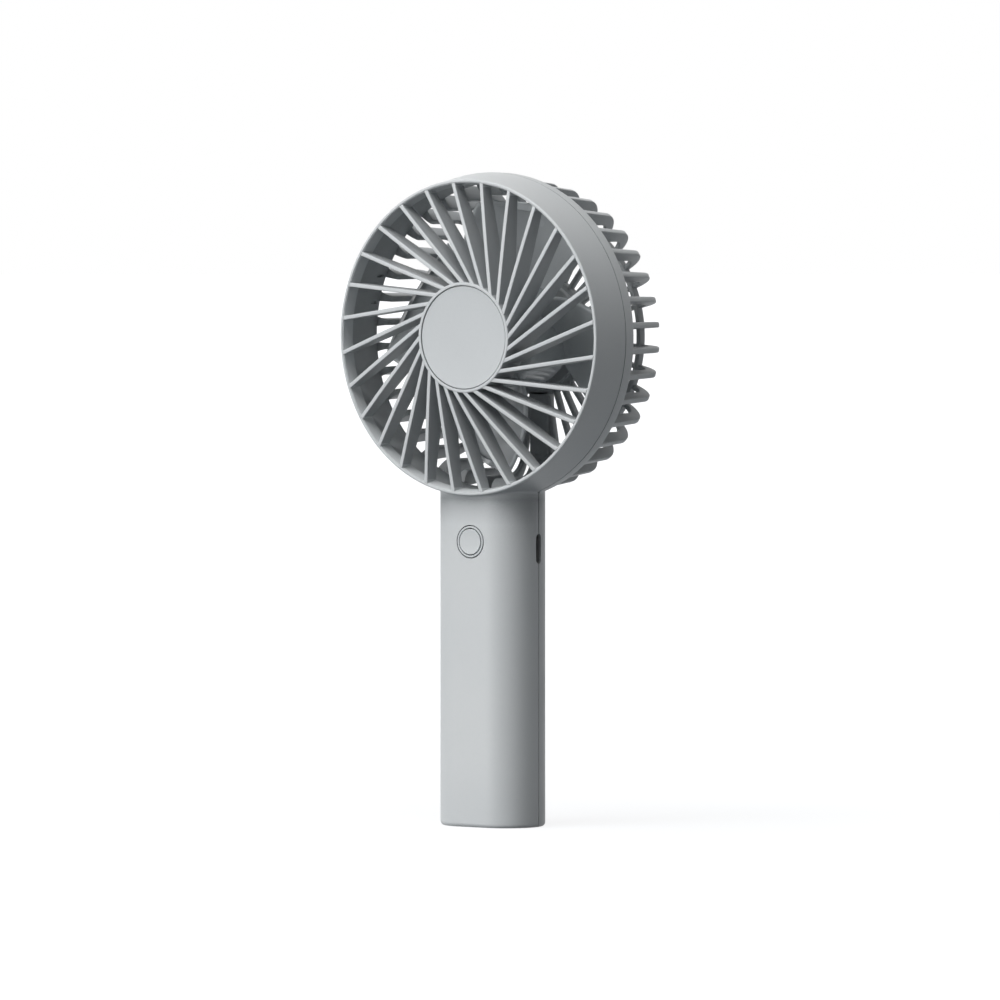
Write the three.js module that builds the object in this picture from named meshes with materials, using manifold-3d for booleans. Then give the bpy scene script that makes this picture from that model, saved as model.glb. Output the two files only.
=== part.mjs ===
// Rechargeable handheld fan, in millimetres, +Z up and its front towards -Y.
// The origin is the middle of the flat foot of the handle.
// The fan turns about a line along Y, at the height of the fan axis.

import * as THREE from "three";
import { mergeVertices } from "three/addons/utils/BufferGeometryUtils.js";
import Module from "manifold-3d";

const wasm = await Module();
wasm.setup();

// Clearances
const partingGap = 0.3;
const looseGap = 0.3;
const closeGap = 0.15;
const seatGap = 0.05;
const overrun = 4;
const mergeDistance = 1e-4;

// Facets round a circle
const headFacets = 76;
const hubFacets = 56;
const midFacets = 32;
const smallFacets = 12;

// Head
const axisHeight = 156;
const headRadius = 52.3;
const bandWall = 2.3;
const bandFront = -13.75;
const bandParting = -0.4;
const lipInset = 2.05;
const lipWidth = 0.95;
const lipRound = 0.9;
const lipSteps = 3;
const ledgeDepth = 1;
const ledgeReach = 0.9;
const ringLength = 4.6;
const ringRound = 0.6;

// Front grille
const finCount = 28;
const finThickness = 1.3;
const finOffset = 12.37;
const finTurn = 8.17;
const finFrontRim = -13.8;
const finFrontHub = -15.9;
const finRearRim = -9.5;
const finRearMiddle = -8.2;
const finRearHub = -6.9;
const rimFront = -12.7;
const rimDepth = 3;
const rimWall = 0.7;
const rimInset = 0.2;
const hubRadius = 17.6;
const hubWall = 0.9;
const hubFront = -16;
const hubRear = -6.3;
const hubFace = 1.4;
const hubEdge = 0.3;
const inlayRadius = 16.3;
const inlayThickness = 1.1;
const inlayInset = 0.25;
const inlayDish = 0.25;
const inlayMiddleShare = 0.6;

// Rear basket
const ribCount = 38;
const ribThickness = 1.9;
const basketInset = 2.9;
const basketBack = 27.8;
const basketCorner = 8;
const ribDepthSide = 3.4;
const ribDepthBack = 2.4;
const ribCornerInside = 5.6;
const ribRoot = 2;
const cornerSteps = 3;
const tieRingInset = 12.15;
const tieRingWall = 1.6;
const tieRingFront = 22.8;
const plateRadius = 19.5;
const plateStepRadius = 17.4;
const plateStep = 1.2;
const capRadius = 15.6;
const capThickness = 1.2;
const capDish = 0.3;
const strutWidth = 8;
const strutProud = 1.2;
const strutInner = 18.4;
const ductWidth = 4;
const ductDepth = 2;

// Impeller
const bladeCount = 4;
const tipInset = 9.3;
const bladeFront = 0.6;
const bladeDepth = 18.6;
const bladeThickness = 1.4;
const bladeTurn = 8.5;
const bladeStepsAlong = 7;
const bladeStepsOut = 5;
const frontSweep = [31, 25, 17, 8.5, 0];
const rearSweep = [-38, -45, -48.5, -50, -51.5];
const rotorRadius = 16.3;
const rotorWall = 1.5;
const rotorNose = -1.7;
const rotorNoseRound = 3.4;
const rotorRear = 19.7;
const rotorBossRadius = 2.9;
const rotorBossEnd = 8;

// Motor
const sleeveWall = 1.8;
const sleeveFront = 10.8;
const sleeveLip = 0.9;
const sleeveLipReach = 2.3;
const canRadius = 12;
const canWall = 0.8;
const canLength = 12.6;
const canFaceHole = 3;
const magnetThickness = 1.7;
const magnetLength = 6.6;
const magnetSpread = 120;
const magnetSteps = 6;
const coreRadius = 8.4;
const corePoles = 3;
const coreSpread = 90;
const coreHead = 1.6;
const coreNeck = 2.6;
const coreHubRadius = 3;
const commutatorRadius = 2.4;
const commutatorLength = 2;
const shaftRadius = 1;
const shaftFront = 0.6;
const bushingRadius = 2.7;
const bushingLength = 1.2;
const endCapThickness = 1.3;
const endCapBore = 2.9;
const leadDiameter = 1;
const leadSpacing = 1.5;
const leadSides = 8;
const leadSteps = 22;

// Handle
const handleWidth = 35.5;
const handleDepth = 24.4;
const handleSet = 0.15;
const handleParting = 0.6;
const handleWall = 2;
const handleReachShare = 0.8;
const footWall = 2.2;
const footRound = 2.4;
const footRoundSteps = 3;
const handleArcSteps = 16;

// Cell and its seats
const cellSides = 32;
const cellNippleRadius = 3;
const cellNippleHeight = 0.8;
const shelfThickness = 1.2;
const shelfInset = 1.15;
const tabThickness = 0.3;
const tabWidth = 6;
const tabEar = 1.4;
const padThickness = 0.6;
const padWidth = 7;
const padMargin = 8;
const cellLeadInset = 1.6;
const leadLandingInset = 5.55;

// Circuit board and what sits on it
const boardThickness = 1.2;
const boardLength = 17.2;
const neckRoom = 6.8;
const boardSideRoom = 1.75;
const boardRoom = 0.9;
const boardScrewRadius = 0.8;
const boardScrewHeadRadius = 1.4;
const boardScrewHeadHeight = 0.8;
const boardScrewLength = 5;
const boardPostWall = 0.9;
const boardHoleInset = 2.4;
const socketHeight = 3.26;
const socketWidth = 8.94;
const socketLength = 7.3;
const socketWall = 0.3;
const socketInset = 2.6;
const socketDrop = 8.2;
const socketBackWall = 0.6;
const slotWidth = 9.2;
const slotHeight = 3;
const tongueThickness = 0.7;
const tongueWidth = 6.7;
const tongueInset = 1.4;
const switchSide = 6;
const switchHeight = 3.8;
const switchWellRadius = 2;
const switchWellDepth = 2.1;
const plungerRadius = 1.7;
const plungerLength = 2.2;
const plungerProud = 0.8;
const chipHeight = 1.4;
const controlChip = { across: 5, along: 4, up: 10.1, beside: 2.5 };
const chargerChip = { across: 4, along: 4, up: 10.1, beside: 2.25 };
const inductor = { across: 5, along: 5, height: 2.4, up: 3.4 };
const led = { across: 1.6, along: 0.8, height: 0.6, x: 4.9, up: 11.5 };

// Power button
const buttonDrop = 5.9;
const capButtonRadius = 4.45;
const buttonProud = 0.2;
const buttonRound = 0.35;
const buttonFlangeRadius = 5.9;
const buttonFlange = 0.7;
const buttonStemRadius = 1.8;
const buttonTravel = 0.4;
const bezelRadius = 5.35;
const bezelProud = 0.1;
const bezelFlangeRadius = 6.6;
const bezelFlange = 0.75;

// Shell screws
const screwRadius = 1;
const screwHeadRadius = 1.9;
const screwHeadHeight = 1.3;
const screwLength = 13;
const screwSeat = 8;
const screwRecessRadius = 2.3;
const screwSlotWidth = 0.5;
const bossRadius = 2.9;
const topScrewSpread = 9;
const topScrewDrop = 3.3;
const footScrewHeight = 5.8;

const degree = Math.PI / 180;

// Colours and finishes
const finishes = {
  shell: { color: 0xc4c9ca, roughness: 0.5, metalness: 0 },
  inlay: { color: 0xc2c8c9, roughness: 0.42, metalness: 0 },
  blade: { color: 0xc9cdce, roughness: 0.45, metalness: 0 },
  button: { color: 0xb9bfc1, roughness: 0.45, metalness: 0 },
  steel: { color: 0x9a9da0, roughness: 0.35, metalness: 0.9 },
  darkSteel: { color: 0x5b5e61, roughness: 0.45, metalness: 0.8 },
  brass: { color: 0xb08d4a, roughness: 0.35, metalness: 0.9 },
  nickel: { color: 0xb9b7ae, roughness: 0.3, metalness: 0.9 },
  black: { color: 0x1b1c1e, roughness: 0.6, metalness: 0 },
  foam: { color: 0x2c2d2f, roughness: 0.95, metalness: 0 },
  cell: { color: 0x3a6ea5, roughness: 0.5, metalness: 0 },
  board: { color: 0x1f5b3a, roughness: 0.5, metalness: 0 },
  ferrite: { color: 0x3b3a3c, roughness: 0.8, metalness: 0 },
  white: { color: 0xf0efe8, roughness: 0.5, metalness: 0 },
  redWire: { color: 0x9c2b26, roughness: 0.6, metalness: 0 },
  blackWire: { color: 0x222324, roughness: 0.6, metalness: 0 },
};

const fan = new THREE.Group();

// Solids

// A closed geometry as a solid, with its faces turned outwards
function solidOf(geometry) {
  const bare = geometry.clone();
  bare.deleteAttribute("normal");
  bare.deleteAttribute("uv");
  const merged = mergeVertices(bare, mergeDistance);
  const points = merged.attributes.position;
  const corners = merged.index.array;
  const a = new THREE.Vector3();
  const b = new THREE.Vector3();
  const c = new THREE.Vector3();
  const kept = [];
  let volume = 0;
  for (let i = 0; i < corners.length; i += 3) {
    const [p, q, r] = [corners[i], corners[i + 1], corners[i + 2]];
    if (p !== q && q !== r && r !== p) {
      kept.push(p, q, r);
      a.fromBufferAttribute(points, p);
      b.fromBufferAttribute(points, q);
      c.fromBufferAttribute(points, r);
      volume += a.dot(b.cross(c));
    }
  }
  if (volume < 0) kept.reverse();
  const mesh = new wasm.Mesh({
    numProp: 3,
    vertProperties: new Float32Array(points.array),
    triVerts: new Uint32Array(kept),
  });
  return new wasm.Manifold(mesh);
}

const join = (...solids) => solids.reduce((sum, next) => sum.add(next));
const cut = (solid, ...tools) => tools.reduce((rest, tool) => rest.subtract(tool), solid);

// A ring or disc turned about the fan axis, from its outline as [radius, y] pairs
function turned(outline, facets = headFacets, height = axisHeight, x = 0) {
  const points = outline.map(([radius, y]) => new THREE.Vector2(radius, y));
  const onAxis = outline[0][0] === 0 && outline[outline.length - 1][0] === 0;
  if (!onAxis) points.push(points[0].clone());
  const geometry = new THREE.LatheGeometry(points, facets);
  geometry.translate(x, 0, height);
  return solidOf(geometry);
}

// A round bar along Y between two places
function barY(radius, from, to, x, z, facets = smallFacets) {
  return turned([[0, from], [radius, from], [radius, to], [0, to]], facets, z, x);
}

function block(x0, x1, y0, y1, z0, z1) {
  const geometry = new THREE.BoxGeometry(x1 - x0, y1 - y0, z1 - z0);
  geometry.translate((x0 + x1) / 2, (y0 + y1) / 2, (z0 + z1) / 2);
  return solidOf(geometry);
}

// An outline of [a, b] pairs in the XY plane, given a thickness centred on Z = 0
function plate(outline, thickness) {
  const shape = new THREE.Shape(outline.map(([a, b]) => new THREE.Vector2(a, b)));
  const geometry = new THREE.ExtrudeGeometry(shape, { depth: thickness, bevelEnabled: false });
  geometry.translate(0, 0, -thickness / 2);
  return geometry;
}

// Turns a plate drawn as [radius, y] to its place round the fan axis, anticlockwise seen from the front
function aroundAxis(geometry, angle) {
  const placed = geometry.clone();
  placed.rotateY(-angle * degree);
  placed.translate(0, 0, axisHeight);
  return solidOf(placed);
}

// Points of an arc in degrees
function arc(centre, radius, from, to, steps) {
  const points = [];
  for (let i = 0; i <= steps; i += 1) {
    const angle = (from + (to - from) * i / steps) * degree;
    points.push([centre[0] + radius * Math.cos(angle), centre[1] + radius * Math.sin(angle)]);
  }
  return points;
}

// The outline of a strip that follows a line of points at half a depth to each side
function stripOutline(line, depth) {
  const left = [];
  const right = [];
  for (let i = 0; i < line.length; i += 1) {
    const before = line[Math.max(i - 1, 0)];
    const after = line[Math.min(i + 1, line.length - 1)];
    const run = [after[0] - before[0], after[1] - before[1]];
    const size = Math.hypot(...run);
    const side = [-run[1] / size * depth / 2, run[0] / size * depth / 2];
    left.push([line[i][0] + side[0], line[i][1] + side[1]]);
    right.push([line[i][0] - side[0], line[i][1] - side[1]]);
  }
  return left.concat(right.reverse());
}

function wire(points, diameter, steps) {
  const path = new THREE.CatmullRomCurve3(points.map((point) => new THREE.Vector3(...point)));
  const section = new THREE.Shape();
  const ring = arc([0, 0], diameter / 2, 0, 360 * (leadSides - 1) / leadSides, leadSides - 1);
  section.setFromPoints(ring.map(([a, b]) => new THREE.Vector2(a, b)));
  return solidOf(new THREE.ExtrudeGeometry(section, { steps, extrudePath: path, bevelEnabled: false }));
}

// A column of stadium section standing from z0 to z1, with its middle at Y = centre and its ends rounded
function roundedColumn(width, depth, z0, z1, centre = 0, round = 0, arcSteps = handleArcSteps) {
  const shape = new THREE.Shape();
  const flat = width / 2 - depth / 2;
  const radius = depth / 2 - round;
  shape.absarc(flat, 0, radius, -Math.PI / 2, Math.PI / 2, false);
  shape.absarc(-flat, 0, radius, Math.PI / 2, 3 * Math.PI / 2, false);
  const options = {
    depth: z1 - z0 - 2 * round,
    curveSegments: arcSteps,
    bevelEnabled: round > 0,
    bevelThickness: round,
    bevelSize: round,
    bevelSegments: footRoundSteps,
  };
  const geometry = new THREE.ExtrudeGeometry(shape, options);
  geometry.translate(0, centre, z0 + round);
  return solidOf(geometry);
}

function add(name, solid, finish) {
  const result = solid.getMesh();
  const geometry = new THREE.BufferGeometry();
  geometry.setAttribute("position", new THREE.BufferAttribute(result.vertProperties, 3));
  geometry.setIndex(new THREE.BufferAttribute(result.triVerts, 1));
  geometry.computeVertexNormals();
  const mesh = new THREE.Mesh(geometry, new THREE.MeshStandardMaterial(finishes[finish]));
  mesh.name = name;
  fan.add(mesh);
}

// Places shared by the two shells

const cavityWidth = handleWidth - 2 * handleWall;
const cavityDepth = handleDepth - 2 * handleWall;
const faceFront = handleSet - handleDepth / 2;
const frontWallInside = faceFront + handleWall;
const cellRadius = cavityDepth / 2 - looseGap - padThickness - closeGap;
const shelfHalfWidth = cellRadius - shelfInset;
const boardHalfWidth = cavityWidth / 2 - boardSideRoom;
const leadLanding = boardHalfWidth - leadLandingInset;

// From the axis out
const bandInside = headRadius - bandWall;
const lipRadius = headRadius - lipInset;
const basketRadius = headRadius - basketInset;
const tieRingRadius = headRadius - tieRingInset;
const tipRadius = headRadius - tipInset;
const handleTop = axisHeight - bandInside * handleReachShare;

// From the head down: the board and the stop over the cell
const headBottom = axisHeight - headRadius;
const topScrewHeight = headBottom - topScrewDrop;
const boardTop = headBottom - neckRoom;
const boardBottom = boardTop - boardLength;
const buttonCentre = boardTop - buttonDrop;
const socketCentre = boardTop - socketDrop;
const stopBottom = boardBottom - boardRoom - shelfThickness;
const positiveTabBottom = stopBottom - looseGap - tabThickness;
const cellTop = positiveTabBottom - seatGap - cellNippleHeight;

// From the foot up: the shelf under the cell, which takes the length that is left, 65 at these sizes
const shelfBottom = footScrewHeight + bossRadius + 2 * looseGap;
const shelfTop = shelfBottom + shelfThickness;
const negativeTabBottom = shelfTop + looseGap;
const cellBottom = negativeTabBottom + tabThickness + seatGap;
const cellLength = cellTop - cellBottom;

const boardBack = handleParting - socketHeight / 2 - seatGap;
const boardFront = boardBack - boardThickness;
const socketOuterEnd = handleWidth / 2 - socketInset;
const socketInnerEnd = socketOuterEnd - socketLength;
const chargerChipX = socketInnerEnd - chargerChip.beside - chargerChip.across / 2;
const chipSpacing = chargerChip.across / 2 + controlChip.beside + controlChip.across / 2;
const boardHoles = [
  [-boardHalfWidth + boardHoleInset, boardTop - boardHoleInset],
  [boardHalfWidth - boardHoleInset, boardBottom + boardHoleInset],
];
const screwPlaces = [
  [-topScrewSpread, topScrewHeight],
  [topScrewSpread, topScrewHeight],
  [0, footScrewHeight],
];

// The line that the cable duct follows, as [distance below the axis, y]
const strutSide = basketRadius + strutProud;
const strutBack = basketBack + strutProud;
const ductSide = (strutSide + basketRadius - ribDepthSide) / 2;
const ductBack = (strutBack + basketBack - ribDepthBack) / 2;
const plateInside = basketBack - ribDepthBack;
const motorBack = plateInside - plateStep + looseGap;
const ductStart = motorBack + ductDepth / 2;
const cornerCentre = [basketRadius - basketCorner, basketBack - basketCorner];
const ductCornerRadius = ductSide - cornerCentre[0];
const ductTurn = handleSet + handleDepth / 2 - handleWall - ductDepth;
const ductExit = ductTurn - ductDepth;
const ductLine = [
  [canRadius - leadDiameter, ductStart],
  [capRadius, ductStart],
  [plateStepRadius, (ductStart + 2 * ductBack) / 3],
  [plateRadius + ductDepth, ductBack],
  ...arc([ductSide - ductCornerRadius, ductBack - ductCornerRadius], ductCornerRadius, 90, 0, cornerSteps),
  [ductSide, ductTurn],
  [ductSide + ductDepth, ductExit],
  [headRadius + ductDepth, ductExit],
];

// The space inside the head, which the shells keep clear
function headSpace(from, to) {
  return barY(bandInside, from, to, 0, axisHeight, headFacets);
}

// One half of the handle with its floor, seats and bosses; side is -1 for the front and 1 for the rear
function handleHalf(side) {
  const outer = roundedColumn(handleWidth, handleDepth, 0, handleTop, handleSet, footRound);
  const hollow = roundedColumn(cavityWidth, cavityDepth, footWall, handleTop + overrun, handleSet);
  const ceiling = barY(headRadius, -handleDepth, handleDepth, 0, axisHeight, headFacets);
  const space = hollow.subtract(ceiling);
  const seats = join(
    block(-shelfHalfWidth, shelfHalfWidth, -handleDepth, handleDepth, shelfBottom, shelfTop),
    block(-shelfHalfWidth, shelfHalfWidth, -handleDepth, handleDepth, stopBottom, stopBottom + shelfThickness),
  ).intersect(outer);
  const near = handleParting + side * partingGap / 2;
  const far = side * handleDepth;
  const half = block(-handleWidth, handleWidth, Math.min(near, far), Math.max(near, far), -overrun, axisHeight);
  let bosses = null;
  for (const [x, z] of screwPlaces) {
    const boss = barY(bossRadius, -handleDepth, handleDepth, x, z).intersect(outer);
    bosses = bosses ? bosses.add(boss) : boss;
  }
  const slot = roundedColumn(slotWidth, slotHeight, 0, handleWidth / 2, 0, 0, smallFacets / 2)
    .rotate([0, 90, 0])
    .translate([socketInnerEnd, handleParting, socketCentre]);
  return cut(outer, space).add(seats).add(bosses).subtract(slot).intersect(half);
}

// Shells

function frontShell() {
  const lipInner = lipRadius - lipWidth;
  const parting = bandParting - partingGap / 2;
  const ledgeFront = finRearRim + looseGap;
  const ledgeInner = lipInner - ledgeReach;
  const band = turned([
    [lipInner, bandFront],
    ...arc([lipRadius - lipRound, bandFront + lipRound], lipRound, -90, 0, lipSteps),
    [headRadius, parting],
    [bandInside, parting],
    [bandInside, ledgeFront + ledgeDepth + ledgeReach],
    [ledgeInner, ledgeFront + ledgeDepth],
    [ledgeInner, ledgeFront],
    [lipInner, ledgeFront],
  ]);
  const space = headSpace(-handleDepth, handleDepth);
  let posts = null;
  for (const [x, z] of boardHoles) {
    const post = barY(boardScrewRadius + boardPostWall, -handleDepth, boardFront - seatGap, x, z);
    posts = posts ? posts.add(post) : post;
  }
  const outer = roundedColumn(handleWidth, handleDepth, 0, handleTop, handleSet, footRound);
  const ringRoom = barY(headRadius + looseGap, parting, handleDepth, 0, axisHeight, headFacets);
  const half = cut(handleHalf(-1).add(posts.intersect(outer)), space, ringRoom).add(band);
  const tools = [];
  for (const [x, z] of boardHoles) {
    const depth = boardBack - boardScrewLength - closeGap;
    tools.push(barY(boardScrewRadius + closeGap, depth, overrun, x, z));
  }
  for (const [x, z] of screwPlaces) {
    const depth = screwSeat - screwLength - closeGap;
    tools.push(barY(screwRadius + closeGap, depth, overrun, x, z));
  }
  tools.push(barY(bezelRadius + closeGap, -handleDepth, frontWallInside + overrun, 0, buttonCentre, midFacets));
  const seatFront = frontWallInside + closeGap;
  tools.push(barY(bezelFlangeRadius + closeGap, seatFront, seatFront + overrun, 0, buttonCentre, midFacets));
  return cut(half, ...tools);
}

// The outline of one rib as [radius, y]; proud widens it outwards for the cable strut
function ribOutline(inner, proud) {
  const side = basketRadius + proud;
  const back = basketBack + proud;
  const round = basketCorner + proud;
  const insideRadius = basketRadius - ribDepthSide;
  const insideBack = basketBack - ribDepthBack;
  const insideCentre = [insideRadius - ribCornerInside, insideBack - ribCornerInside];
  return [
    [headRadius - bandWall / 2, ribRoot],
    [Math.max(headRadius - bandWall / 2, side), ringLength],
    ...arc(cornerCentre, round, 0, 90, cornerSteps),
    [inner, back],
    [inner, insideBack],
    ...arc(insideCentre, ribCornerInside, 90, 0, cornerSteps),
    [insideRadius, ringLength + ribRoot],
    [bandInside - seatGap, ribRoot],
  ];
}

function rearShell() {
  const parting = bandParting + partingGap / 2;
  const ring = turned([
    [bandInside, parting],
    [headRadius, parting],
    [headRadius - closeGap, ringLength - ringRound],
    [headRadius - ringRound, ringLength],
    [bandInside, ringLength],
  ]);
  const tieRing = turned([
    [tieRingRadius - tieRingWall, tieRingFront],
    [tieRingRadius, tieRingFront],
    [tieRingRadius, basketBack - closeGap],
    [tieRingRadius - tieRingWall, basketBack - closeGap],
  ], ribCount);
  const bore = canRadius + looseGap;
  const recess = capRadius + looseGap;
  const recessFloor = basketBack - capThickness - closeGap;
  const cup = turned([
    [bore - sleeveLipReach, sleeveFront],
    [bore + sleeveWall, sleeveFront],
    [bore + sleeveWall, plateInside - plateStep],
    [plateStepRadius, plateInside - plateStep],
    [plateStepRadius, plateInside],
    [plateRadius, plateInside],
    [plateRadius, basketBack],
    [recess, basketBack],
    [recess, recessFloor],
    [bore, recessFloor],
    [bore, sleeveFront + sleeveLip],
    [bore - sleeveLipReach, sleeveFront + sleeveLip],
  ], midFacets);
  const space = headSpace(-handleDepth, handleDepth);
  let shell = cut(handleHalf(1), space).add(ring).add(tieRing).add(cup);
  const rib = plate(ribOutline(plateRadius - ribThickness / 2, 0), ribThickness);
  const ribs = [];
  for (let i = 1; i < ribCount; i += 1) {
    ribs.push(aroundAxis(rib, -90 + 360 * i / ribCount));
  }
  shell = shell.add(join(...ribs));
  shell = shell.add(aroundAxis(plate(ribOutline(strutInner, strutProud), strutWidth), -90));
  const duct = aroundAxis(plate(stripOutline(ductLine, ductDepth), ductWidth), -90);
  const tools = [duct];
  for (const [x, z] of screwPlaces) {
    tools.push(barY(screwRadius + looseGap, -overrun, handleDepth, x, z));
    tools.push(barY(screwRecessRadius, screwSeat, handleDepth, x, z));
  }
  return cut(shell, ...tools);
}

// Front grille

function frontGrille() {
  const lipInner = lipRadius - lipWidth;
  const rimOuter = lipInner - rimInset;
  const rimInner = rimOuter - rimWall;
  const rim = turned([
    [rimInner, rimFront],
    [rimOuter, rimFront],
    [rimOuter, rimFront + rimDepth],
    [rimInner, rimFront + rimDepth],
  ], hubFacets);
  const seatRadius = inlayRadius + inlayInset;
  const seatDepth = hubFront + inlayInset + inlayThickness + seatGap;
  const hub = turned([
    [0, seatDepth],
    [seatRadius, seatDepth],
    [seatRadius, hubFront],
    [hubRadius - hubEdge, hubFront],
    [hubRadius, hubFront + hubEdge],
    [hubRadius, hubRear],
    [hubRadius - hubWall, hubRear],
    [hubRadius - hubWall, seatDepth + hubFace],
    [0, seatDepth + hubFace],
  ], hubFacets);
  const along = (radius, offset) => Math.sqrt(radius * radius - offset * offset);
  const inner = along(hubRadius - hubWall / 2, finOffset);
  const outer = along(rimOuter, finOffset + finThickness / 2);
  const middle = (inner + outer) / 2;
  const fin = plate([
    [inner, finFrontHub],
    [middle, (finFrontHub + finFrontRim) / 2 - inlayInset],
    [outer, finFrontRim],
    [outer, rimFront],
    [outer - rimWall / 2, finRearRim],
    [middle, finRearMiddle],
    [inner, finRearHub],
  ], finThickness);
  fin.translate(0, 0, -finOffset);
  const fins = [];
  for (let i = 0; i < finCount; i += 1) {
    fins.push(aroundAxis(fin, finTurn + 360 * i / finCount));
  }
  return join(rim, hub, ...fins);
}

function hubInlay() {
  const front = hubFront + inlayInset;
  return turned([
    [0, front + inlayDish],
    [inlayRadius * inlayMiddleShare, front + inlayDish * inlayMiddleShare],
    [inlayRadius, front],
    [inlayRadius, front + inlayThickness],
    [0, front + inlayThickness],
  ], hubFacets);
}

function rearCap() {
  return turned([
    [0, basketBack - capThickness],
    [capRadius, basketBack - capThickness],
    [capRadius, basketBack],
    [capRadius - capThickness, basketBack],
    [0, basketBack - capDish],
  ], midFacets);
}

// Impeller

// A value between the entries of an evenly spaced list, for t from 0 to 1
function between(list, t) {
  const place = t * (list.length - 1);
  const first = Math.min(Math.floor(place), list.length - 2);
  return list[first] + (list[first + 1] - list[first]) * (place - first);
}

// The middle surface of a blade; t runs out from the hub and u from the front edge to the rear edge
function bladePoint(t, u) {
  const root = rotorRadius - rotorWall / 2;
  const radius = root + (tipRadius - root) * t;
  const front = between(frontSweep, t);
  const angle = (bladeTurn + front + (between(rearSweep, t) - front) * u) * degree;
  const y = bladeFront + bladeDepth * Math.sin(u * Math.PI / 2);
  return new THREE.Vector3(radius * Math.cos(angle), y, radius * Math.sin(angle));
}

function bladeSolid() {
  const positions = [];
  const index = [];
  const step = 1e-3;
  const across = bladeStepsAlong + 1;
  for (const face of [1, -1]) {
    for (let i = 0; i <= bladeStepsOut; i += 1) {
      for (let j = 0; j <= bladeStepsAlong; j += 1) {
        const t = i / bladeStepsOut;
        const u = j / bladeStepsAlong;
        const here = bladePoint(t, u);
        const out = bladePoint(Math.min(t + step, 1), u).sub(bladePoint(Math.max(t - step, 0), u));
        const aft = bladePoint(t, Math.min(u + step, 1)).sub(bladePoint(t, Math.max(u - step, 0)));
        const normal = out.cross(aft).normalize();
        here.addScaledVector(normal, face * bladeThickness / 2);
        positions.push(here.x, here.y, here.z);
      }
    }
  }
  const other = (bladeStepsOut + 1) * across;
  const quad = (a, b, c, d) => index.push(a, b, c, a, c, d);
  for (let i = 0; i < bladeStepsOut; i += 1) {
    for (let j = 0; j < bladeStepsAlong; j += 1) {
      const a = i * across + j;
      quad(a, a + across, a + across + 1, a + 1);
      quad(other + a, other + a + 1, other + a + across + 1, other + a + across);
    }
  }
  for (let i = 0; i < bladeStepsOut; i += 1) {
    const a = i * across;
    const b = a + bladeStepsAlong;
    quad(a, other + a, other + a + across, a + across);
    quad(b, b + across, other + b + across, other + b);
  }
  for (let j = 0; j < bladeStepsAlong; j += 1) {
    const a = j;
    const b = bladeStepsOut * across + j;
    quad(a, a + 1, other + a + 1, other + a);
    quad(b, other + b, other + b + 1, b + 1);
  }
  const geometry = new THREE.BufferGeometry();
  geometry.setAttribute("position", new THREE.Float32BufferAttribute(positions, 3));
  geometry.setIndex(index);
  return geometry;
}

function impeller() {
  const inside = rotorRadius - rotorWall;
  const hub = turned([
    [0, rotorNose],
    [rotorRadius - 2 * rotorNoseRound, rotorNose + rotorWall / 4],
    [rotorRadius - rotorNoseRound / 2, rotorNose + rotorWall],
    [rotorRadius, rotorNose + rotorNoseRound],
    [rotorRadius, rotorRear],
    [inside, rotorRear],
    [inside, rotorNose + rotorNoseRound + rotorWall],
    [rotorBossRadius, rotorNose + rotorNoseRound],
    [rotorBossRadius, rotorBossEnd],
    [shaftRadius + closeGap, rotorBossEnd],
    [shaftRadius + closeGap, shaftFront - looseGap],
    [0, shaftFront - looseGap],
  ], midFacets);
  const core = barY(inside, -overrun - tipRadius, tipRadius, 0, axisHeight, midFacets);
  const blade = bladeSolid();
  const blades = [];
  for (let i = 0; i < bladeCount; i += 1) {
    blades.push(cut(aroundAxis(blade, 360 * i / bladeCount), core));
  }
  return join(hub, ...blades);
}

// Motor

const canFront = sleeveFront + sleeveLip + seatGap;
const canBack = canFront + canLength;
const endCapFront = canBack - endCapThickness - seatGap;
const magnetFront = canFront + bushingLength + looseGap;
const magnetOuter = canRadius - canWall - closeGap;
const rearBushingFront = canBack - bushingLength;
const shaftBack = canBack - seatGap;

function motorCan() {
  return turned([
    [canFaceHole, canFront],
    [canRadius, canFront],
    [canRadius, canBack],
    [canRadius - canWall, canBack],
    [canRadius - canWall, canFront + canWall],
    [canFaceHole, canFront + canWall],
  ], midFacets);
}

function motorMagnet(turn) {
  const inner = magnetOuter - magnetThickness;
  const half = magnetSpread / 2;
  const outline = arc([0, 0], magnetOuter, -half, half, magnetSteps)
    .concat(arc([0, 0], inner, half, -half, magnetSteps));
  const magnet = plate(outline, magnetLength);
  magnet.rotateX(90 * degree);
  magnet.translate(0, magnetFront + magnetLength / 2, 0);
  return aroundAxis(magnet, turn);
}

function rotorCore() {
  const poles = [];
  const reach = coreRadius - coreHead / 2;
  for (let i = 0; i < corePoles; i += 1) {
    const turn = 90 + 360 * i / corePoles;
    const neck = plate([
      [0, magnetFront],
      [reach, magnetFront],
      [reach, magnetFront + magnetLength],
      [0, magnetFront + magnetLength],
    ], coreNeck);
    poles.push(aroundAxis(neck, turn));
    const half = coreSpread / 2;
    const head = plate(arc([0, 0], coreRadius, -half, half, magnetSteps)
      .concat(arc([0, 0], coreRadius - coreHead, half, -half, magnetSteps)), magnetLength);
    head.rotateX(90 * degree);
    head.translate(0, magnetFront + magnetLength / 2, 0);
    poles.push(aroundAxis(head, turn));
  }
  const hub = barY(coreHubRadius, magnetFront, magnetFront + magnetLength, 0, axisHeight);
  const bore = barY(shaftRadius + closeGap, 0, 2 * canBack, 0, axisHeight);
  return join(hub, ...poles).subtract(bore);
}

function commutator() {
  const front = magnetFront + magnetLength + looseGap;
  return sleeve(shaftRadius + closeGap, commutatorRadius, front, front + commutatorLength);
}

// A plain tube along the fan axis
function sleeve(inner, outer, from, to) {
  return turned([[inner, from], [outer, from], [outer, to], [inner, to]], smallFacets);
}

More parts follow.
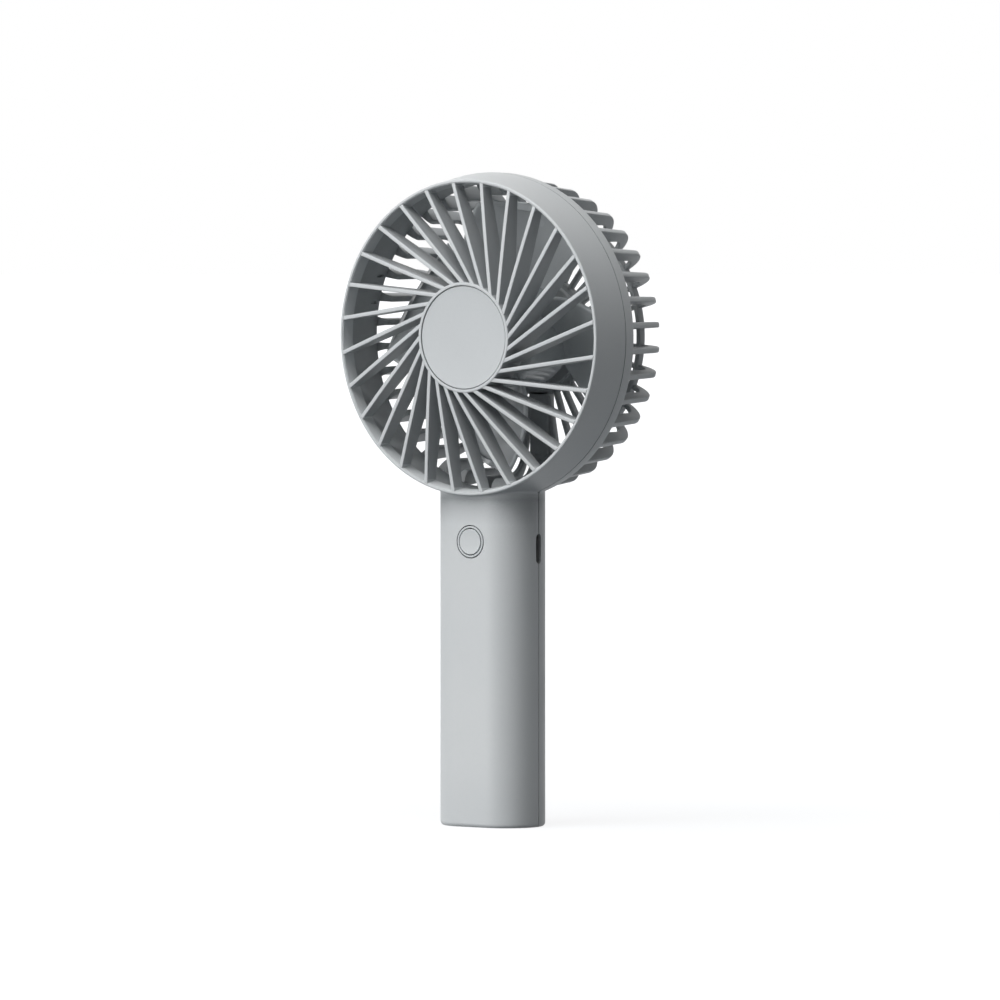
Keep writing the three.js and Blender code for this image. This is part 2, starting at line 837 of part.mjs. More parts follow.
function endCap() {
  return turned([
    [endCapBore, endCapFront],
    [canRadius - canWall - closeGap, endCapFront],
    [canRadius - canWall - closeGap, canBack - seatGap],
    [endCapBore, canBack - seatGap],
  ], midFacets);
}

function motorLead(side) {
  const x = side * leadSpacing / 2;
  const inDuct = ductLine.slice(0, -1).map(([below, y]) => [x, y, axisHeight - below]);
  const [, exitY] = ductLine[ductLine.length - 1];
  const route = inDuct.concat([
    [x, exitY, headBottom - ductDepth],
    [x, exitY - 2 * ductDepth, headBottom - 2 * ductDepth],
    [x, boardBack + 2 * ductDepth, boardTop + ductDepth / 2],
    [x, boardBack + ductDepth, boardTop - ductDepth],
    [x, boardBack + looseGap, boardTop - ductDepth],
  ]);
  return wire(route, leadDiameter, leadSteps);
}

// Handle contents

function batteryCell() {
  const body = new THREE.CylinderGeometry(cellRadius, cellRadius, cellLength, cellSides);
  body.rotateX(90 * degree);
  body.translate(0, handleSet, cellBottom + cellLength / 2);
  const nippleLength = 2 * cellNippleHeight;
  const nipple = new THREE.CylinderGeometry(cellNippleRadius, cellNippleRadius, nippleLength, smallFacets);
  nipple.rotateX(90 * degree);
  nipple.translate(0, handleSet, cellTop);
  return join(solidOf(body), solidOf(nipple));
}

function batteryPad(side) {
  const outer = handleSet + side * (cavityDepth / 2 - looseGap);
  const inner = outer - side * padThickness;
  return block(-padWidth / 2, padWidth / 2, Math.min(inner, outer), Math.max(inner, outer),
    cellBottom + padMargin, cellTop - padMargin);
}

function cellTab(z, side) {
  const ear = cellRadius + tabEar;
  const x = [-cellNippleRadius * side, ear * side].sort((a, b) => a - b);
  return block(x[0], x[1], -tabWidth / 2, tabWidth / 2, z, z + tabThickness);
}

function positiveLead() {
  const positiveX = -cellRadius - tabEar + leadDiameter / 2;
  const rise = positiveTabBottom + tabThickness + seatGap;
  return wire([
    [positiveX, 0, rise],
    [positiveX, 0, rise + cellLeadInset],
    [positiveX + cellLeadInset / 2, 0, rise + 2 * cellLeadInset],
    [-leadLanding, boardBack + leadDiameter, boardBottom + 2 * cellLeadInset],
    [-leadLanding, boardBack + looseGap, boardBottom + 2 * cellLeadInset],
  ], leadDiameter, leadSteps / 2);
}

function negativeLead() {
  const ear = cellRadius + tabEar;
  const clear = ear + leadDiameter;
  const foot = negativeTabBottom + tabThickness + seatGap;
  return wire([
    [ear - leadDiameter / 2, 0, foot],
    [ear - leadDiameter / 2, 0, foot + leadDiameter],
    [clear, 0, foot + 4 * leadDiameter],
    [clear, 0, foot + cellLength / 2],
    [clear, 0, cellTop - 2 * leadDiameter],
    [clear - cellLeadInset, 0, boardBottom - leadDiameter],
    [leadLanding, boardBack + leadDiameter, boardBottom + cellLeadInset],
    [leadLanding, boardBack + looseGap, boardBottom + cellLeadInset],
  ], leadDiameter, leadSteps);
}

function circuitBoard() {
  const board = block(-boardHalfWidth, boardHalfWidth, boardFront, boardBack, boardBottom, boardTop);
  return cut(board, ...boardHoles.map(
    ([x, z]) => barY(boardScrewRadius + closeGap, -handleDepth, handleDepth, x, z)));
}

function usbSocket() {
  const profile = (inset, from, to) => roundedColumn(
    socketWidth - 2 * inset, socketHeight - 2 * inset, from, to, 0, 0, smallFacets / 2)
    .rotate([0, 90, 0])
    .translate([0, handleParting, socketCentre]);
  const shell = profile(0, socketInnerEnd, socketOuterEnd);
  return cut(shell, profile(socketWall, socketInnerEnd + socketBackWall, socketOuterEnd + overrun));
}

function usbTongue() {
  const from = socketInnerEnd + socketBackWall + seatGap;
  return block(from, socketOuterEnd - tongueInset,
    handleParting - tongueThickness / 2, handleParting + tongueThickness / 2,
    socketCentre - tongueWidth / 2, socketCentre + tongueWidth / 2);
}

const switchBack = boardFront - seatGap;
const switchFront = switchBack - switchHeight;
const plungerFront = switchFront - plungerProud;

function tactSwitch() {
  const body = block(-switchSide / 2, switchSide / 2, switchFront, switchBack,
    buttonCentre - switchSide / 2, buttonCentre + switchSide / 2);
  return cut(body, barY(switchWellRadius, switchFront - overrun, switchFront + switchWellDepth, 0, buttonCentre));
}

function switchPlunger() {
  return barY(plungerRadius, plungerFront, plungerFront + plungerLength, 0, buttonCentre);
}

// A component on the rear face of the board
function onBoardBack(size, x, height) {
  const z = boardBottom + size.up;
  return block(x - size.across / 2, x + size.across / 2, boardBack + seatGap,
    boardBack + seatGap + height, z - size.along / 2, z + size.along / 2);
}

function statusLed() {
  const z = boardBottom + led.up;
  return block(led.x - led.across / 2, led.x + led.across / 2, boardFront - seatGap - led.height,
    boardFront - seatGap, z - led.along / 2, z + led.along / 2);
}

// Button, drawn about its own line along Y

const bezelBack = frontWallInside + closeGap + bezelFlange;

function buttonBezel() {
  const bore = capButtonRadius + closeGap;
  return turned([
    [bore, faceFront - bezelProud],
    [bezelRadius, faceFront - bezelProud],
    [bezelRadius, frontWallInside + closeGap],
    [bezelFlangeRadius, frontWallInside + closeGap],
    [bezelFlangeRadius, bezelBack],
    [bore, bezelBack],
  ], midFacets, buttonCentre);
}

function powerButton() {
  const front = faceFront - buttonProud;
  const flangeFront = bezelBack + looseGap;
  return turned([
    [0, front],
    [capButtonRadius - buttonRound, front],
    [capButtonRadius, front + buttonRound],
    [capButtonRadius, flangeFront],
    [buttonFlangeRadius, flangeFront],
    [buttonFlangeRadius, flangeFront + buttonFlange],
    [buttonStemRadius, flangeFront + buttonFlange],
    [buttonStemRadius, plungerFront - seatGap],
    [0, plungerFront - seatGap],
  ], midFacets, buttonCentre);
}

// Screws

function screw(x, z, seat, length, radius, headRadius, headHeight) {
  const shank = barY(radius, seat - length, seat + headHeight / 2, x, z);
  const head = barY(headRadius, seat + seatGap, seat + headHeight, x, z);
  const slotTop = seat + headHeight;
  const slots = join(
    block(x - headRadius / 2, x + headRadius / 2, slotTop - headHeight / 2, slotTop + overrun,
      z - screwSlotWidth / 2, z + screwSlotWidth / 2),
    block(x - screwSlotWidth / 2, x + screwSlotWidth / 2, slotTop - headHeight / 2, slotTop + overrun,
      z - headRadius / 2, z + headRadius / 2),
  );
  return cut(join(shank, head), slots);
}

function shellScrew([x, z]) {
  return screw(x, z, screwSeat, screwLength, screwRadius, screwHeadRadius, screwHeadHeight);
}

function boardScrew([x, z]) {
  return screw(x, z, boardBack, boardScrewLength, boardScrewRadius, boardScrewHeadRadius, boardScrewHeadHeight);
}

// Assembly

add("front_shell", frontShell(), "shell");
add("rear_shell", rearShell(), "shell");
add("front_grille", frontGrille(), "shell");
add("hub_inlay", hubInlay(), "inlay");
add("rear_cap", rearCap(), "inlay");
add("impeller", impeller(), "blade");
add("motor_shaft", barY(shaftRadius, shaftFront, shaftBack, 0, axisHeight), "steel");
add("rotor_core", rotorCore(), "darkSteel");
add("commutator", commutator(), "brass");
add("motor_can", motorCan(), "steel");
add("motor_magnet_left", motorMagnet(180), "ferrite");
add("motor_magnet_right", motorMagnet(0), "ferrite");
add("front_bushing", sleeve(shaftRadius + closeGap, bushingRadius, canFront, canFront + bushingLength), "brass");
add("rear_bushing", sleeve(shaftRadius + closeGap, bushingRadius, rearBushingFront, canBack - seatGap), "brass");
add("motor_end_cap", endCap(), "black");
add("motor_lead_left", motorLead(-1), "redWire");
add("motor_lead_right", motorLead(1), "blackWire");
add("battery_cell", batteryCell(), "cell");
add("battery_pad_front", batteryPad(-1), "foam");
add("battery_pad_rear", batteryPad(1), "foam");
add("positive_tab", cellTab(positiveTabBottom, -1), "nickel");
add("negative_tab", cellTab(negativeTabBottom, 1), "nickel");
add("positive_lead", positiveLead(), "redWire");
add("negative_lead", negativeLead(), "blackWire");
add("circuit_board", circuitBoard(), "board");
add("usb_c_socket", usbSocket(), "nickel");
add("usb_c_tongue", usbTongue(), "black");
add("tact_switch", tactSwitch(), "black");
add("switch_plunger", switchPlunger(), "white");
add("control_chip", onBoardBack(controlChip, chargerChipX - chipSpacing, chipHeight), "black");
add("charger_chip", onBoardBack(chargerChip, chargerChipX, chipHeight), "black");
add("power_inductor", onBoardBack(inductor, 0, inductor.height), "ferrite");
add("status_led", statusLed(), "white");
add("power_button", powerButton(), "button");
add("button_bezel", buttonBezel(), "inlay");
add("board_screw_top", boardScrew(boardHoles[0]), "steel");
add("board_screw_bottom", boardScrew(boardHoles[1]), "steel");
add("shell_screw_left", shellScrew(screwPlaces[0]), "steel");
add("shell_screw_right", shellScrew(screwPlaces[1]), "steel");
add("shell_screw_foot", shellScrew(screwPlaces[2]), "steel");

export default fan;
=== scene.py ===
# Rechargeable handheld fan, dressed for rendering. Sizes in the dictionaries are millimetres.
import math

import bmesh
import bpy
import numpy as np
from mathutils import Matrix, Vector


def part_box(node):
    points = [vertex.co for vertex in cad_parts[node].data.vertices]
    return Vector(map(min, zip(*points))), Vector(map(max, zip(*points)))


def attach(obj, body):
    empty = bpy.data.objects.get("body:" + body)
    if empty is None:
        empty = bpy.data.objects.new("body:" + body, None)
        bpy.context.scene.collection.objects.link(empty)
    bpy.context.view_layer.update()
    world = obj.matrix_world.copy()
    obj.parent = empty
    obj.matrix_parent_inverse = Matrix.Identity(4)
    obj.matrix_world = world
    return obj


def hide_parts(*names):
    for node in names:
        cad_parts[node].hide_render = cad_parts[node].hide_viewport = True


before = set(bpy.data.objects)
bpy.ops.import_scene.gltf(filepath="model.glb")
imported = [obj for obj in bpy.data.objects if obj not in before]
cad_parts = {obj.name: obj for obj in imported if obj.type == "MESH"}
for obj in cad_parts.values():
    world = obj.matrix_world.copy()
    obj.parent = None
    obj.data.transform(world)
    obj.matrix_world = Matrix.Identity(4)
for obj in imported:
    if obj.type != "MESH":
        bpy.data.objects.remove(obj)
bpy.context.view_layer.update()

mm = 0.001
axisZ = 156.0  # height of the fan axis
scene = bpy.context.scene
print("frame loaded,", len(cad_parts), "nodes")

# Camera

photoView = {
    "turn": 35.795,  # degrees round to the right of the front
    "tilt": 2.342,  # degrees looking down
    "distance": 3333.3,
    "aim": (0.0, -13.8, 156.0),  # the middle of the head's front
    "shift": (10.487, -51.627),  # from the aim to the middle of the picture, right and up
    "lens": 378.0,
}


def makeCamera(view):
    turn, tilt = math.radians(view["turn"]), math.radians(view["tilt"])
    right = Vector((math.cos(turn), math.sin(turn), 0))
    ahead = Vector((-math.sin(turn) * math.cos(tilt), math.cos(turn) * math.cos(tilt), -math.sin(tilt)))
    up = right.cross(ahead)
    across, rise = view["shift"]
    place = Vector(view["aim"]) + right * across + up * rise - ahead * view["distance"]
    data = bpy.data.cameras.new("photoCamera")
    data.lens, data.sensor_width = view["lens"], 36.0
    data.clip_start, data.clip_end = 0.1, 40.0
    camera = bpy.data.objects.new("photoCamera", data)
    turned = Matrix((right, up, -ahead)).transposed().to_4x4()
    camera.matrix_world = Matrix.Translation(place * mm) @ turned
    scene.collection.objects.link(camera)
    scene.camera = camera


makeCamera(photoView)

# Materials

def newGroup(name, inputs, outputs):
    group = bpy.data.node_groups.new(name, "ShaderNodeTree")
    for title, kind, value in inputs:
        socket = group.interface.new_socket(title, in_out="INPUT", socket_type=kind)
        if value is not None:
            socket.default_value = value
    for title, kind in outputs:
        group.interface.new_socket(title, in_out="OUTPUT", socket_type=kind)
    return group, group.nodes.new("NodeGroupInput"), group.nodes.new("NodeGroupOutput")


def node(tree, kind, **settings):
    made = tree.nodes.new(kind)
    for key, value in settings.items():
        setattr(made, key, value)
    return made


def noise(tree, vector, scale, detail, rough=0.5):
    made = node(tree, "ShaderNodeTexNoise")
    tree.links.new(vector, made.inputs["Vector"])
    if isinstance(scale, bpy.types.NodeSocket):
        tree.links.new(scale, made.inputs["Scale"])
    else:
        made.inputs["Scale"].default_value = scale
    made.inputs["Detail"].default_value = detail
    made.inputs["Roughness"].default_value = rough
    return made.outputs["Fac"]


def maths(tree, operation, *values):
    made = node(tree, "ShaderNodeMath", operation=operation)
    for socket, value in zip(made.inputs, values):
        if isinstance(value, bpy.types.NodeSocket):
            tree.links.new(value, socket)
        else:
            socket.default_value = value
    return made.outputs[0]


def spread(tree, value, low, high, fromLow=0.3, fromHigh=0.7):
    made = node(tree, "ShaderNodeMapRange")
    tree.links.new(value, made.inputs["Value"])
    made.inputs["From Min"].default_value = fromLow
    made.inputs["From Max"].default_value = fromHigh
    for title, limit in (("To Min", low), ("To Max", high)):
        if isinstance(limit, bpy.types.NodeSocket):
            tree.links.new(limit, made.inputs[title])
        else:
            made.inputs[title].default_value = limit
    return made.outputs["Result"]


# Spark-eroded mould grain: fine pits over a slower ripple, as a height from 0 to 1
def makeGrainGroup():
    group, given, result = newGroup(
        "mouldGrain",
        [("Vector", "NodeSocketVector", None), ("Scale", "NodeSocketFloat", 2600.0),
         ("Ripple", "NodeSocketFloat", 90.0)],
        [("Height", "NodeSocketFloat")],
    )
    fine = noise(group, given.outputs["Vector"], given.outputs["Scale"], 3.0, 0.6)
    ripple = noise(group, given.outputs["Vector"], given.outputs["Ripple"], 2.0, 0.4)
    both = maths(group, "ADD", maths(group, "MULTIPLY", fine, 0.8), maths(group, "MULTIPLY", ripple, 0.2))
    group.links.new(both, result.inputs["Height"])
    return group


# Slow drift between two colours with faint specks of the second one
def makeDriftGroup():
    group, given, result = newGroup(
        "colourDrift",
        [("Vector", "NodeSocketVector", None), ("Scale", "NodeSocketFloat", 35.0),
         ("Speck", "NodeSocketFloat", 900.0), ("First", "NodeSocketColor", None), ("Second", "NodeSocketColor", None)],
        [("Color", "NodeSocketColor")],
    )
    slow = spread(group, noise(group, given.outputs["Vector"], given.outputs["Scale"], 3.0), 0.0, 0.7)
    speck = spread(group, noise(group, given.outputs["Vector"], given.outputs["Speck"], 2.0), 0.0, 0.3, 0.5, 0.75)
    blend = node(group, "ShaderNodeMix", data_type="RGBA")
    group.links.new(maths(group, "ADD", slow, speck), blend.inputs["Factor"])
    group.links.new(given.outputs["First"], blend.inputs["A"])
    group.links.new(given.outputs["Second"], blend.inputs["B"])
    group.links.new(blend.outputs["Result"], result.inputs["Color"])
    return group


# Painted shade in the head: the colour darkens where a share "shut" of the sky is shut out within reach, as the shade
# of its hollows, corners and inside would fall. It fades in with height over "rise", paints a shadow right under the
# head where the lip shades the neck, and leaves the lip unshaded. Lengths are metres.
shadePainting = {
    "shut": 0.18, "rise": (0.08, 0.095), "neck": 0.9, "neckRise": (0.0965, 0.1045), "neckFall": (0.1045, 0.1068),
    "lipRadius": 0.0492, "lipReach": 0.0011, "lipBack": -0.0095, "samples": 6,
}


def makeShadeGroup(d):
    group, given, result = newGroup(
        "headPaintedShade",
        [("Vector", "NodeSocketVector", None), ("Unshaded", "NodeSocketColor", None), ("Shaded", "NodeSocketColor", None),
         ("Amount", "NodeSocketFloat", 0.8), ("Reach", "NodeSocketFloat", 0.02)],
        [("Color", "NodeSocketColor")],
    )

    def times(first, second):
        return maths(group, "MULTIPLY", first, second)

    # ambient occlusion finds the hollows whose shade is painted into the colour
    near = node(group, "ShaderNodeAmbientOcclusion", samples=d["samples"])
    group.links.new(given.outputs["Reach"], near.inputs["Distance"])
    place = node(group, "ShaderNodeSeparateXYZ")
    group.links.new(given.outputs["Vector"], place.inputs[0])
    across, along, height = (place.outputs[axis] for axis in "XYZ")
    cover = spread(group, maths(group, "SUBTRACT", 1.0, near.outputs["AO"]), 0.0, 1.0, 0.0, d["shut"])
    # a painted shadow right under the head's lip, on the neck and the head's underside
    neck = times(spread(group, height, 0.0, d["neck"], *d["neckRise"]),
                 spread(group, height, 1.0, 0.0, *d["neckFall"]))
    cover = times(maths(group, "ADD", cover, neck), spread(group, height, 0.0, given.outputs["Amount"], *d["rise"]))
    up = maths(group, "SUBTRACT", height, axisZ * mm)
    radius = maths(group, "SQRT", maths(group, "ADD", times(up, up), times(across, across)))
    lip = times(maths(group, "COMPARE", radius, d["lipRadius"], d["lipReach"]),
                maths(group, "LESS_THAN", along, d["lipBack"]))
    blend = node(group, "ShaderNodeMix", data_type="RGBA")
    group.links.new(times(cover, maths(group, "SUBTRACT", 1.0, lip)), blend.inputs["Factor"])
    group.links.new(given.outputs["Unshaded"], blend.inputs["A"])
    group.links.new(given.outputs["Shaded"], blend.inputs["B"])
    group.links.new(blend.outputs["Result"], result.inputs["Color"])
    return group


# Roughness that wanders between two values, with hair-thin handling marks
def makeSheenGroup():
    group, given, result = newGroup(
        "handledSheen",
        [("Vector", "NodeSocketVector", None), ("Scale", "NodeSocketFloat", 60.0),
         ("Low", "NodeSocketFloat", 0.4), ("High", "NodeSocketFloat", 0.5)],
        [("Roughness", "NodeSocketFloat")],
    )
    # the marks run round the handle, since they are squeezed most along Z
    stretch = node(group, "ShaderNodeMapping")
    stretch.inputs["Scale"].default_value = (1.0, 0.6, 14.0)
    stretch.inputs["Rotation"].default_value = (0.3, 0.2, 0.5)
    group.links.new(given.outputs["Vector"], stretch.inputs["Vector"])
    marks = spread(group, noise(group, stretch.outputs["Vector"], 130.0, 4.0, 0.65), 0.0, 0.35, 0.58, 0.74)
    slow = noise(group, given.outputs["Vector"], given.outputs["Scale"], 3.0)
    mix = spread(group, maths(group, "SUBTRACT", slow, maths(group, "MULTIPLY", marks, 0.4)),
                 given.outputs["Low"], given.outputs["High"])
    group.links.new(mix, result.inputs["Roughness"])
    return group


groups = {"grain": makeGrainGroup(), "drift": makeDriftGroup(), "sheen": makeSheenGroup(),
          "paintedShade": makeShadeGroup(shadePainting)}


# An sRGB value c becomes ((c + 0.055) / 1.055) ** 2.4 in linear light
def linear(hexColour):
    values = np.array([int(hexColour[i:i + 2], 16) for i in (0, 2, 4)]) / 255
    values = np.where(values <= 0.04045, values / 12.92, ((values + 0.055) / 1.055) ** 2.4)
    return (*values.tolist(), 1.0)


# first, second: colours; sheen: lowest and highest roughness; grain: points per metre; bump: strength;
# paintedShade: colour and amount of the shade painted into the head's hollows, its inside and under its lip
finishes = {
    "shellPlastic": {"first": "cfd2d3", "second": "caced0", "sheen": (0.42, 0.5), "grain": 2600, "bump": 0.07,
                     "paintedShade": ("7d8184", 0.5)},
    "inlayPlastic": {"first": "c8ccce", "second": "c3c7c9", "sheen": (0.36, 0.44), "grain": 3400, "bump": 0.05},
    "bladePlastic": {"first": "cbcfd1", "second": "c4c9cb", "sheen": (0.18, 0.28), "grain": 1800, "bump": 0.04,
                     "paintedShade": ("7d8184", 0.08)},
    "buttonPlastic": {"first": "ccd0d1", "second": "c6cacc", "sheen": (0.38, 0.46), "grain": 3800, "bump": 0.08},
    "canSteel": {"first": "a4a7aa", "second": "8f9396", "sheen": (0.26, 0.4), "grain": 700, "bump": 0.08,
                 "metal": 1.0, "stretch": (1.0, 14.0, 1.0)},
    "screwSteel": {"first": "9da0a3", "second": "7f8386", "sheen": (0.24, 0.38), "grain": 1500, "bump": 0.1,
                   "metal": 1.0},
    "coreSteel": {"first": "5d6064", "second": "4a4d50", "sheen": (0.4, 0.55), "grain": 900, "bump": 0.3,
                  "metal": 1.0, "stretch": (0.1, 6.0, 0.1)},
    "turnedBrass": {"first": "c19a52", "second": "a17c3a", "sheen": (0.22, 0.36), "grain": 900, "bump": 0.12,
                    "metal": 1.0, "stretch": (1.0, 9.0, 1.0)},
    "nickelPlate": {"first": "c2c0b8", "second": "aaa89f", "sheen": (0.2, 0.34), "grain": 1900, "bump": 0.06,
                    "metal": 1.0},
    "blackNylon": {"first": "1d1e20", "second": "26272a", "sheen": (0.5, 0.62), "grain": 2200, "bump": 0.12},
    "whiteNylon": {"first": "eeece4", "second": "e2dfd5", "sheen": (0.4, 0.52), "grain": 2200, "bump": 0.08},
    "ferriteBlock": {"first": "3c3b3e", "second": "2d2c2e", "sheen": (0.7, 0.85), "grain": 1400, "bump": 0.4},
    "padFoam": {"first": "2f3032", "second": "1f2022", "sheen": (0.88, 0.98), "grain": 1100, "bump": 0.8},
    "cellSleeve": {"first": "3b6fa6", "second": "336395", "sheen": (0.34, 0.46), "grain": 500, "bump": 0.1},
    "solderMask": {"first": "1f5c3b", "second": "184c30", "sheen": (0.3, 0.44), "grain": 1300, "bump": 0.14},
    "redJacket": {"first": "9e2d27", "second": "88241f", "sheen": (0.46, 0.58), "grain": 2500, "bump": 0.1},
    "blackJacket": {"first": "242526", "second": "1a1b1c", "sheen": (0.46, 0.58), "grain": 2500, "bump": 0.1},
}
grainDepth = 0.0001  # metres
refraction = 1.46


def makeFinish(name, finish):
    material = bpy.data.materials.new(name)
    material.use_nodes = True
    tree = material.node_tree
    shader = tree.nodes["Principled BSDF"]
    place = node(tree, "ShaderNodeTexCoord").outputs["Object"]
    if "stretch" in finish:
        mapping = node(tree, "ShaderNodeMapping")
        mapping.inputs["Scale"].default_value = finish["stretch"]
        tree.links.new(place, mapping.inputs["Vector"])
        place = mapping.outputs["Vector"]

    def groupNode(key):
        made = node(tree, "ShaderNodeGroup", node_tree=groups[key])
        tree.links.new(place, made.inputs["Vector"])
        return made

    drift = groupNode("drift")
    drift.inputs["First"].default_value = linear(finish["first"])
    drift.inputs["Second"].default_value = linear(finish["second"])
    colour = drift.outputs["Color"]
    if "paintedShade" in finish:
        # shade painted into the head's hollows and under its lip darkens the colour here
        paintedShade = groupNode("paintedShade")
        tree.links.new(colour, paintedShade.inputs["Unshaded"])
        paintedShade.inputs["Shaded"].default_value = linear(finish["paintedShade"][0])
        paintedShade.inputs["Amount"].default_value = finish["paintedShade"][1]
        colour = paintedShade.outputs["Color"]
    tree.links.new(colour, shader.inputs["Base Color"])
    sheen = groupNode("sheen")
    sheen.inputs["Low"].default_value, sheen.inputs["High"].default_value = finish["sheen"]
    tree.links.new(sheen.outputs["Roughness"], shader.inputs["Roughness"])
    grain = groupNode("grain")
    grain.inputs["Scale"].default_value = finish["grain"]
    bump = node(tree, "ShaderNodeBump")
    bump.inputs["Strength"].default_value = finish["bump"]
    bump.inputs["Distance"].default_value = grainDepth
    tree.links.new(grain.outputs["Height"], bump.inputs["Height"])
    tree.links.new(bump.outputs["Normal"], shader.inputs["Normal"])
    shader.inputs["Metallic"].default_value = finish.get("metal", 0.0)
    shader.inputs["IOR"].default_value = refraction
    return material


materials = {name: makeFinish(name, finish) for name, finish in finishes.items()}
print("materials made:", len(materials))

# Surfaces. Each is (points in millimetres, faces of four), and a piece is a list of closed ones


# Faces of a grid: point (i, j) joins (i, j+1), (i+1, j+1) and (i+1, j); a wrapped side joins its last line to its first
def gridFaces(rows, columns, wrapRows, wrapColumns):
    i, j = np.meshgrid(np.arange(rows if wrapRows else rows - 1),
                       np.arange(columns if wrapColumns else columns - 1), indexing="ij")
    nextRow, nextColumn = (i + 1) % rows, (j + 1) % columns
    faces = np.stack([i * columns + j, i * columns + nextColumn,
                      nextRow * columns + nextColumn, nextRow * columns + j], -1)
    return faces.reshape(-1, 4)


# A grid of points with wrapped columns; ends that aren't wrapped close onto the middle of their row
def closedGrid(points, wrapRows=False):
    if not wrapRows:
        ends = [np.repeat(points[k].mean(axis=0, keepdims=True), points.shape[1], axis=0)[None] for k in (0, -1)]
        points = np.concatenate([ends[0], points, ends[1]])
    return points.reshape(-1, 3), gridFaces(points.shape[0], points.shape[1], wrapRows, True)


# Corners of a closed outline rounded: an arc that touches both sides stands for each corner with a radius
def softened(corners, steps=5):
    made = []
    given = [(c[0], c[1], c[2] if len(c) > 2 else 0.0) for c in corners]
    for k, (a, b, radius) in enumerate(given):
        here = np.array([a, b])
        before = np.array(given[k - 1][:2]) - here
        after = np.array(given[(k + 1) % len(given)][:2]) - here
        lengths = np.linalg.norm(before), np.linalg.norm(after)
        if radius <= 0 or min(lengths) == 0:
            made.append(here[None])
            continue
        before, after = before / lengths[0], after / lengths[1]
        half = math.acos(float(np.clip(before @ after, -1, 1))) / 2
        if half > math.radians(89):
            made.append(here[None])
            continue
        run = min(radius / math.tan(half), 0.49 * min(lengths))
        middle = here + (before + after) / np.linalg.norm(before + after) * (run / math.cos(half))
        first, last = here + before * run - middle, here + after * run - middle
        swing = math.pi - 2 * half
        t = np.linspace(0, 1, steps + 1)[:, None]
        made.append(middle + (np.sin((1 - t) * swing) * first + np.sin(t * swing) * last) / math.sin(swing))
    return np.concatenate(made)


# An outline of (radius, y) turned about a line along Y: x = radius cos a, z = height + radius sin a
def turned(outline, steps=256, x=0.0, z=axisZ):
    outline = np.asarray(outline, float)
    angle = np.linspace(0, 2 * math.pi, steps, endpoint=False)
    radius, along = outline[:, :1], outline[:, 1:2]
    points = np.stack([x + radius * np.cos(angle), along + 0 * angle, z + radius * np.sin(angle)], -1)
    return points.reshape(-1, 3), gridFaces(len(outline), steps, True, True)


# Points turned about the fan axis by an angle, anticlockwise seen from the front
def aroundAxis(surface, degrees):
    points, faces = surface
    a = math.radians(degrees)
    x, y, z = points[:, 0], points[:, 1], points[:, 2]
    return np.stack([x * math.cos(a) - z * math.sin(a), y, x * math.sin(a) + z * math.cos(a) + axisZ], -1), faces


# A box between two corners
def block(x0, x1, y0, y1, z0, z1):
    x, y, z = np.meshgrid([x0, x1], [y0, y1], [z0, z1], indexing="ij")
    points = np.stack([x, y, z], -1).reshape(-1, 3)
    faces = np.array([[0, 1, 3, 2], [4, 6, 7, 5], [0, 4, 5, 1], [2, 3, 7, 6], [0, 2, 6, 4], [1, 5, 7, 3]])
    return points, faces


# Everything of the part between two depths
def slab(y0, y1):
    return block(-60, 60, y0, y1, -20, 200)


# One mesh object of several surfaces. Points closer than weldGap, in metres, become one
weldGap = 2e-7


def makeObject(name, surfaces):
    points, faces, first = [], [], 0
    for surfacePoints, surfaceFaces in surfaces:
        points.append(surfacePoints)
        faces.append(surfaceFaces + first)
        first += len(surfacePoints)
    points, faces = np.concatenate(points) * mm, np.concatenate(faces)
    data = bpy.data.meshes.new(name)
    data.vertices.add(len(points))
    data.vertices.foreach_set("co", points.astype(np.float32).ravel())
    data.loops.add(faces.size)
    data.loops.foreach_set("vertex_index", faces.astype(np.int32).ravel())
    data.polygons.add(len(faces))
    data.polygons.foreach_set("loop_start", np.arange(0, faces.size, 4, dtype=np.int32))
    data.update(calc_edges=True)
    work = bmesh.new()
    work.from_mesh(data)
    bmesh.ops.remove_doubles(work, verts=work.verts, dist=weldGap)
    bmesh.ops.recalc_face_normals(work, faces=work.faces)
    work.to_mesh(data)
    work.free()
    made = bpy.data.objects.new(name, data)
    scene.collection.objects.link(made)
    return made


# A boolean of two objects, kept in the first one
def combine(base, tool, operation):
    step = base.modifiers.new("combine", "BOOLEAN")
    step.operation, step.solver, step.object = operation, "MANIFOLD", tool
    bpy.context.view_layer.update()
    result = bpy.data.meshes.new_from_object(base.evaluated_get(bpy.context.evaluated_depsgraph_get()))
    base.modifiers.remove(step)
    old, base.data = base.data, result
    bpy.data.meshes.remove(old)
    oldTool = tool.data
    bpy.data.objects.remove(tool)
    bpy.data.meshes.remove(oldTool)


# Each surface in turn taken away from the object
def cutAway(base, *surfaces):
    for surface in surfaces:
        combine(base, makeObject("tool", [surface]), "DIFFERENCE")


# The surfaces of two objects in one mesh, without a boolean
def joinInto(piece, other):
    work = bmesh.new()
    work.from_mesh(piece.data)
    work.from_mesh(other.data)
    work.to_mesh(piece.data)
    work.free()
    old = other.data
    bpy.data.objects.remove(other)
    bpy.data.meshes.remove(old)


# A finished piece: smooth but for edges sharper than the angle, with its finish, its body and the solids it replaces
def dress(piece, finish, body, slot, *nodes, sharp=32):
    piece.data.shade_smooth()
    piece.data.set_sharp_from_angle(angle=math.radians(sharp))
    piece.data.materials.clear()
    piece.data.materials.append(materials[finish])
    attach(piece, body)
    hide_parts(*nodes)
    print("made", piece.name, len(piece.data.polygons), "faces")


# Handle: a column of stadium section with a rounded foot, blended into the head

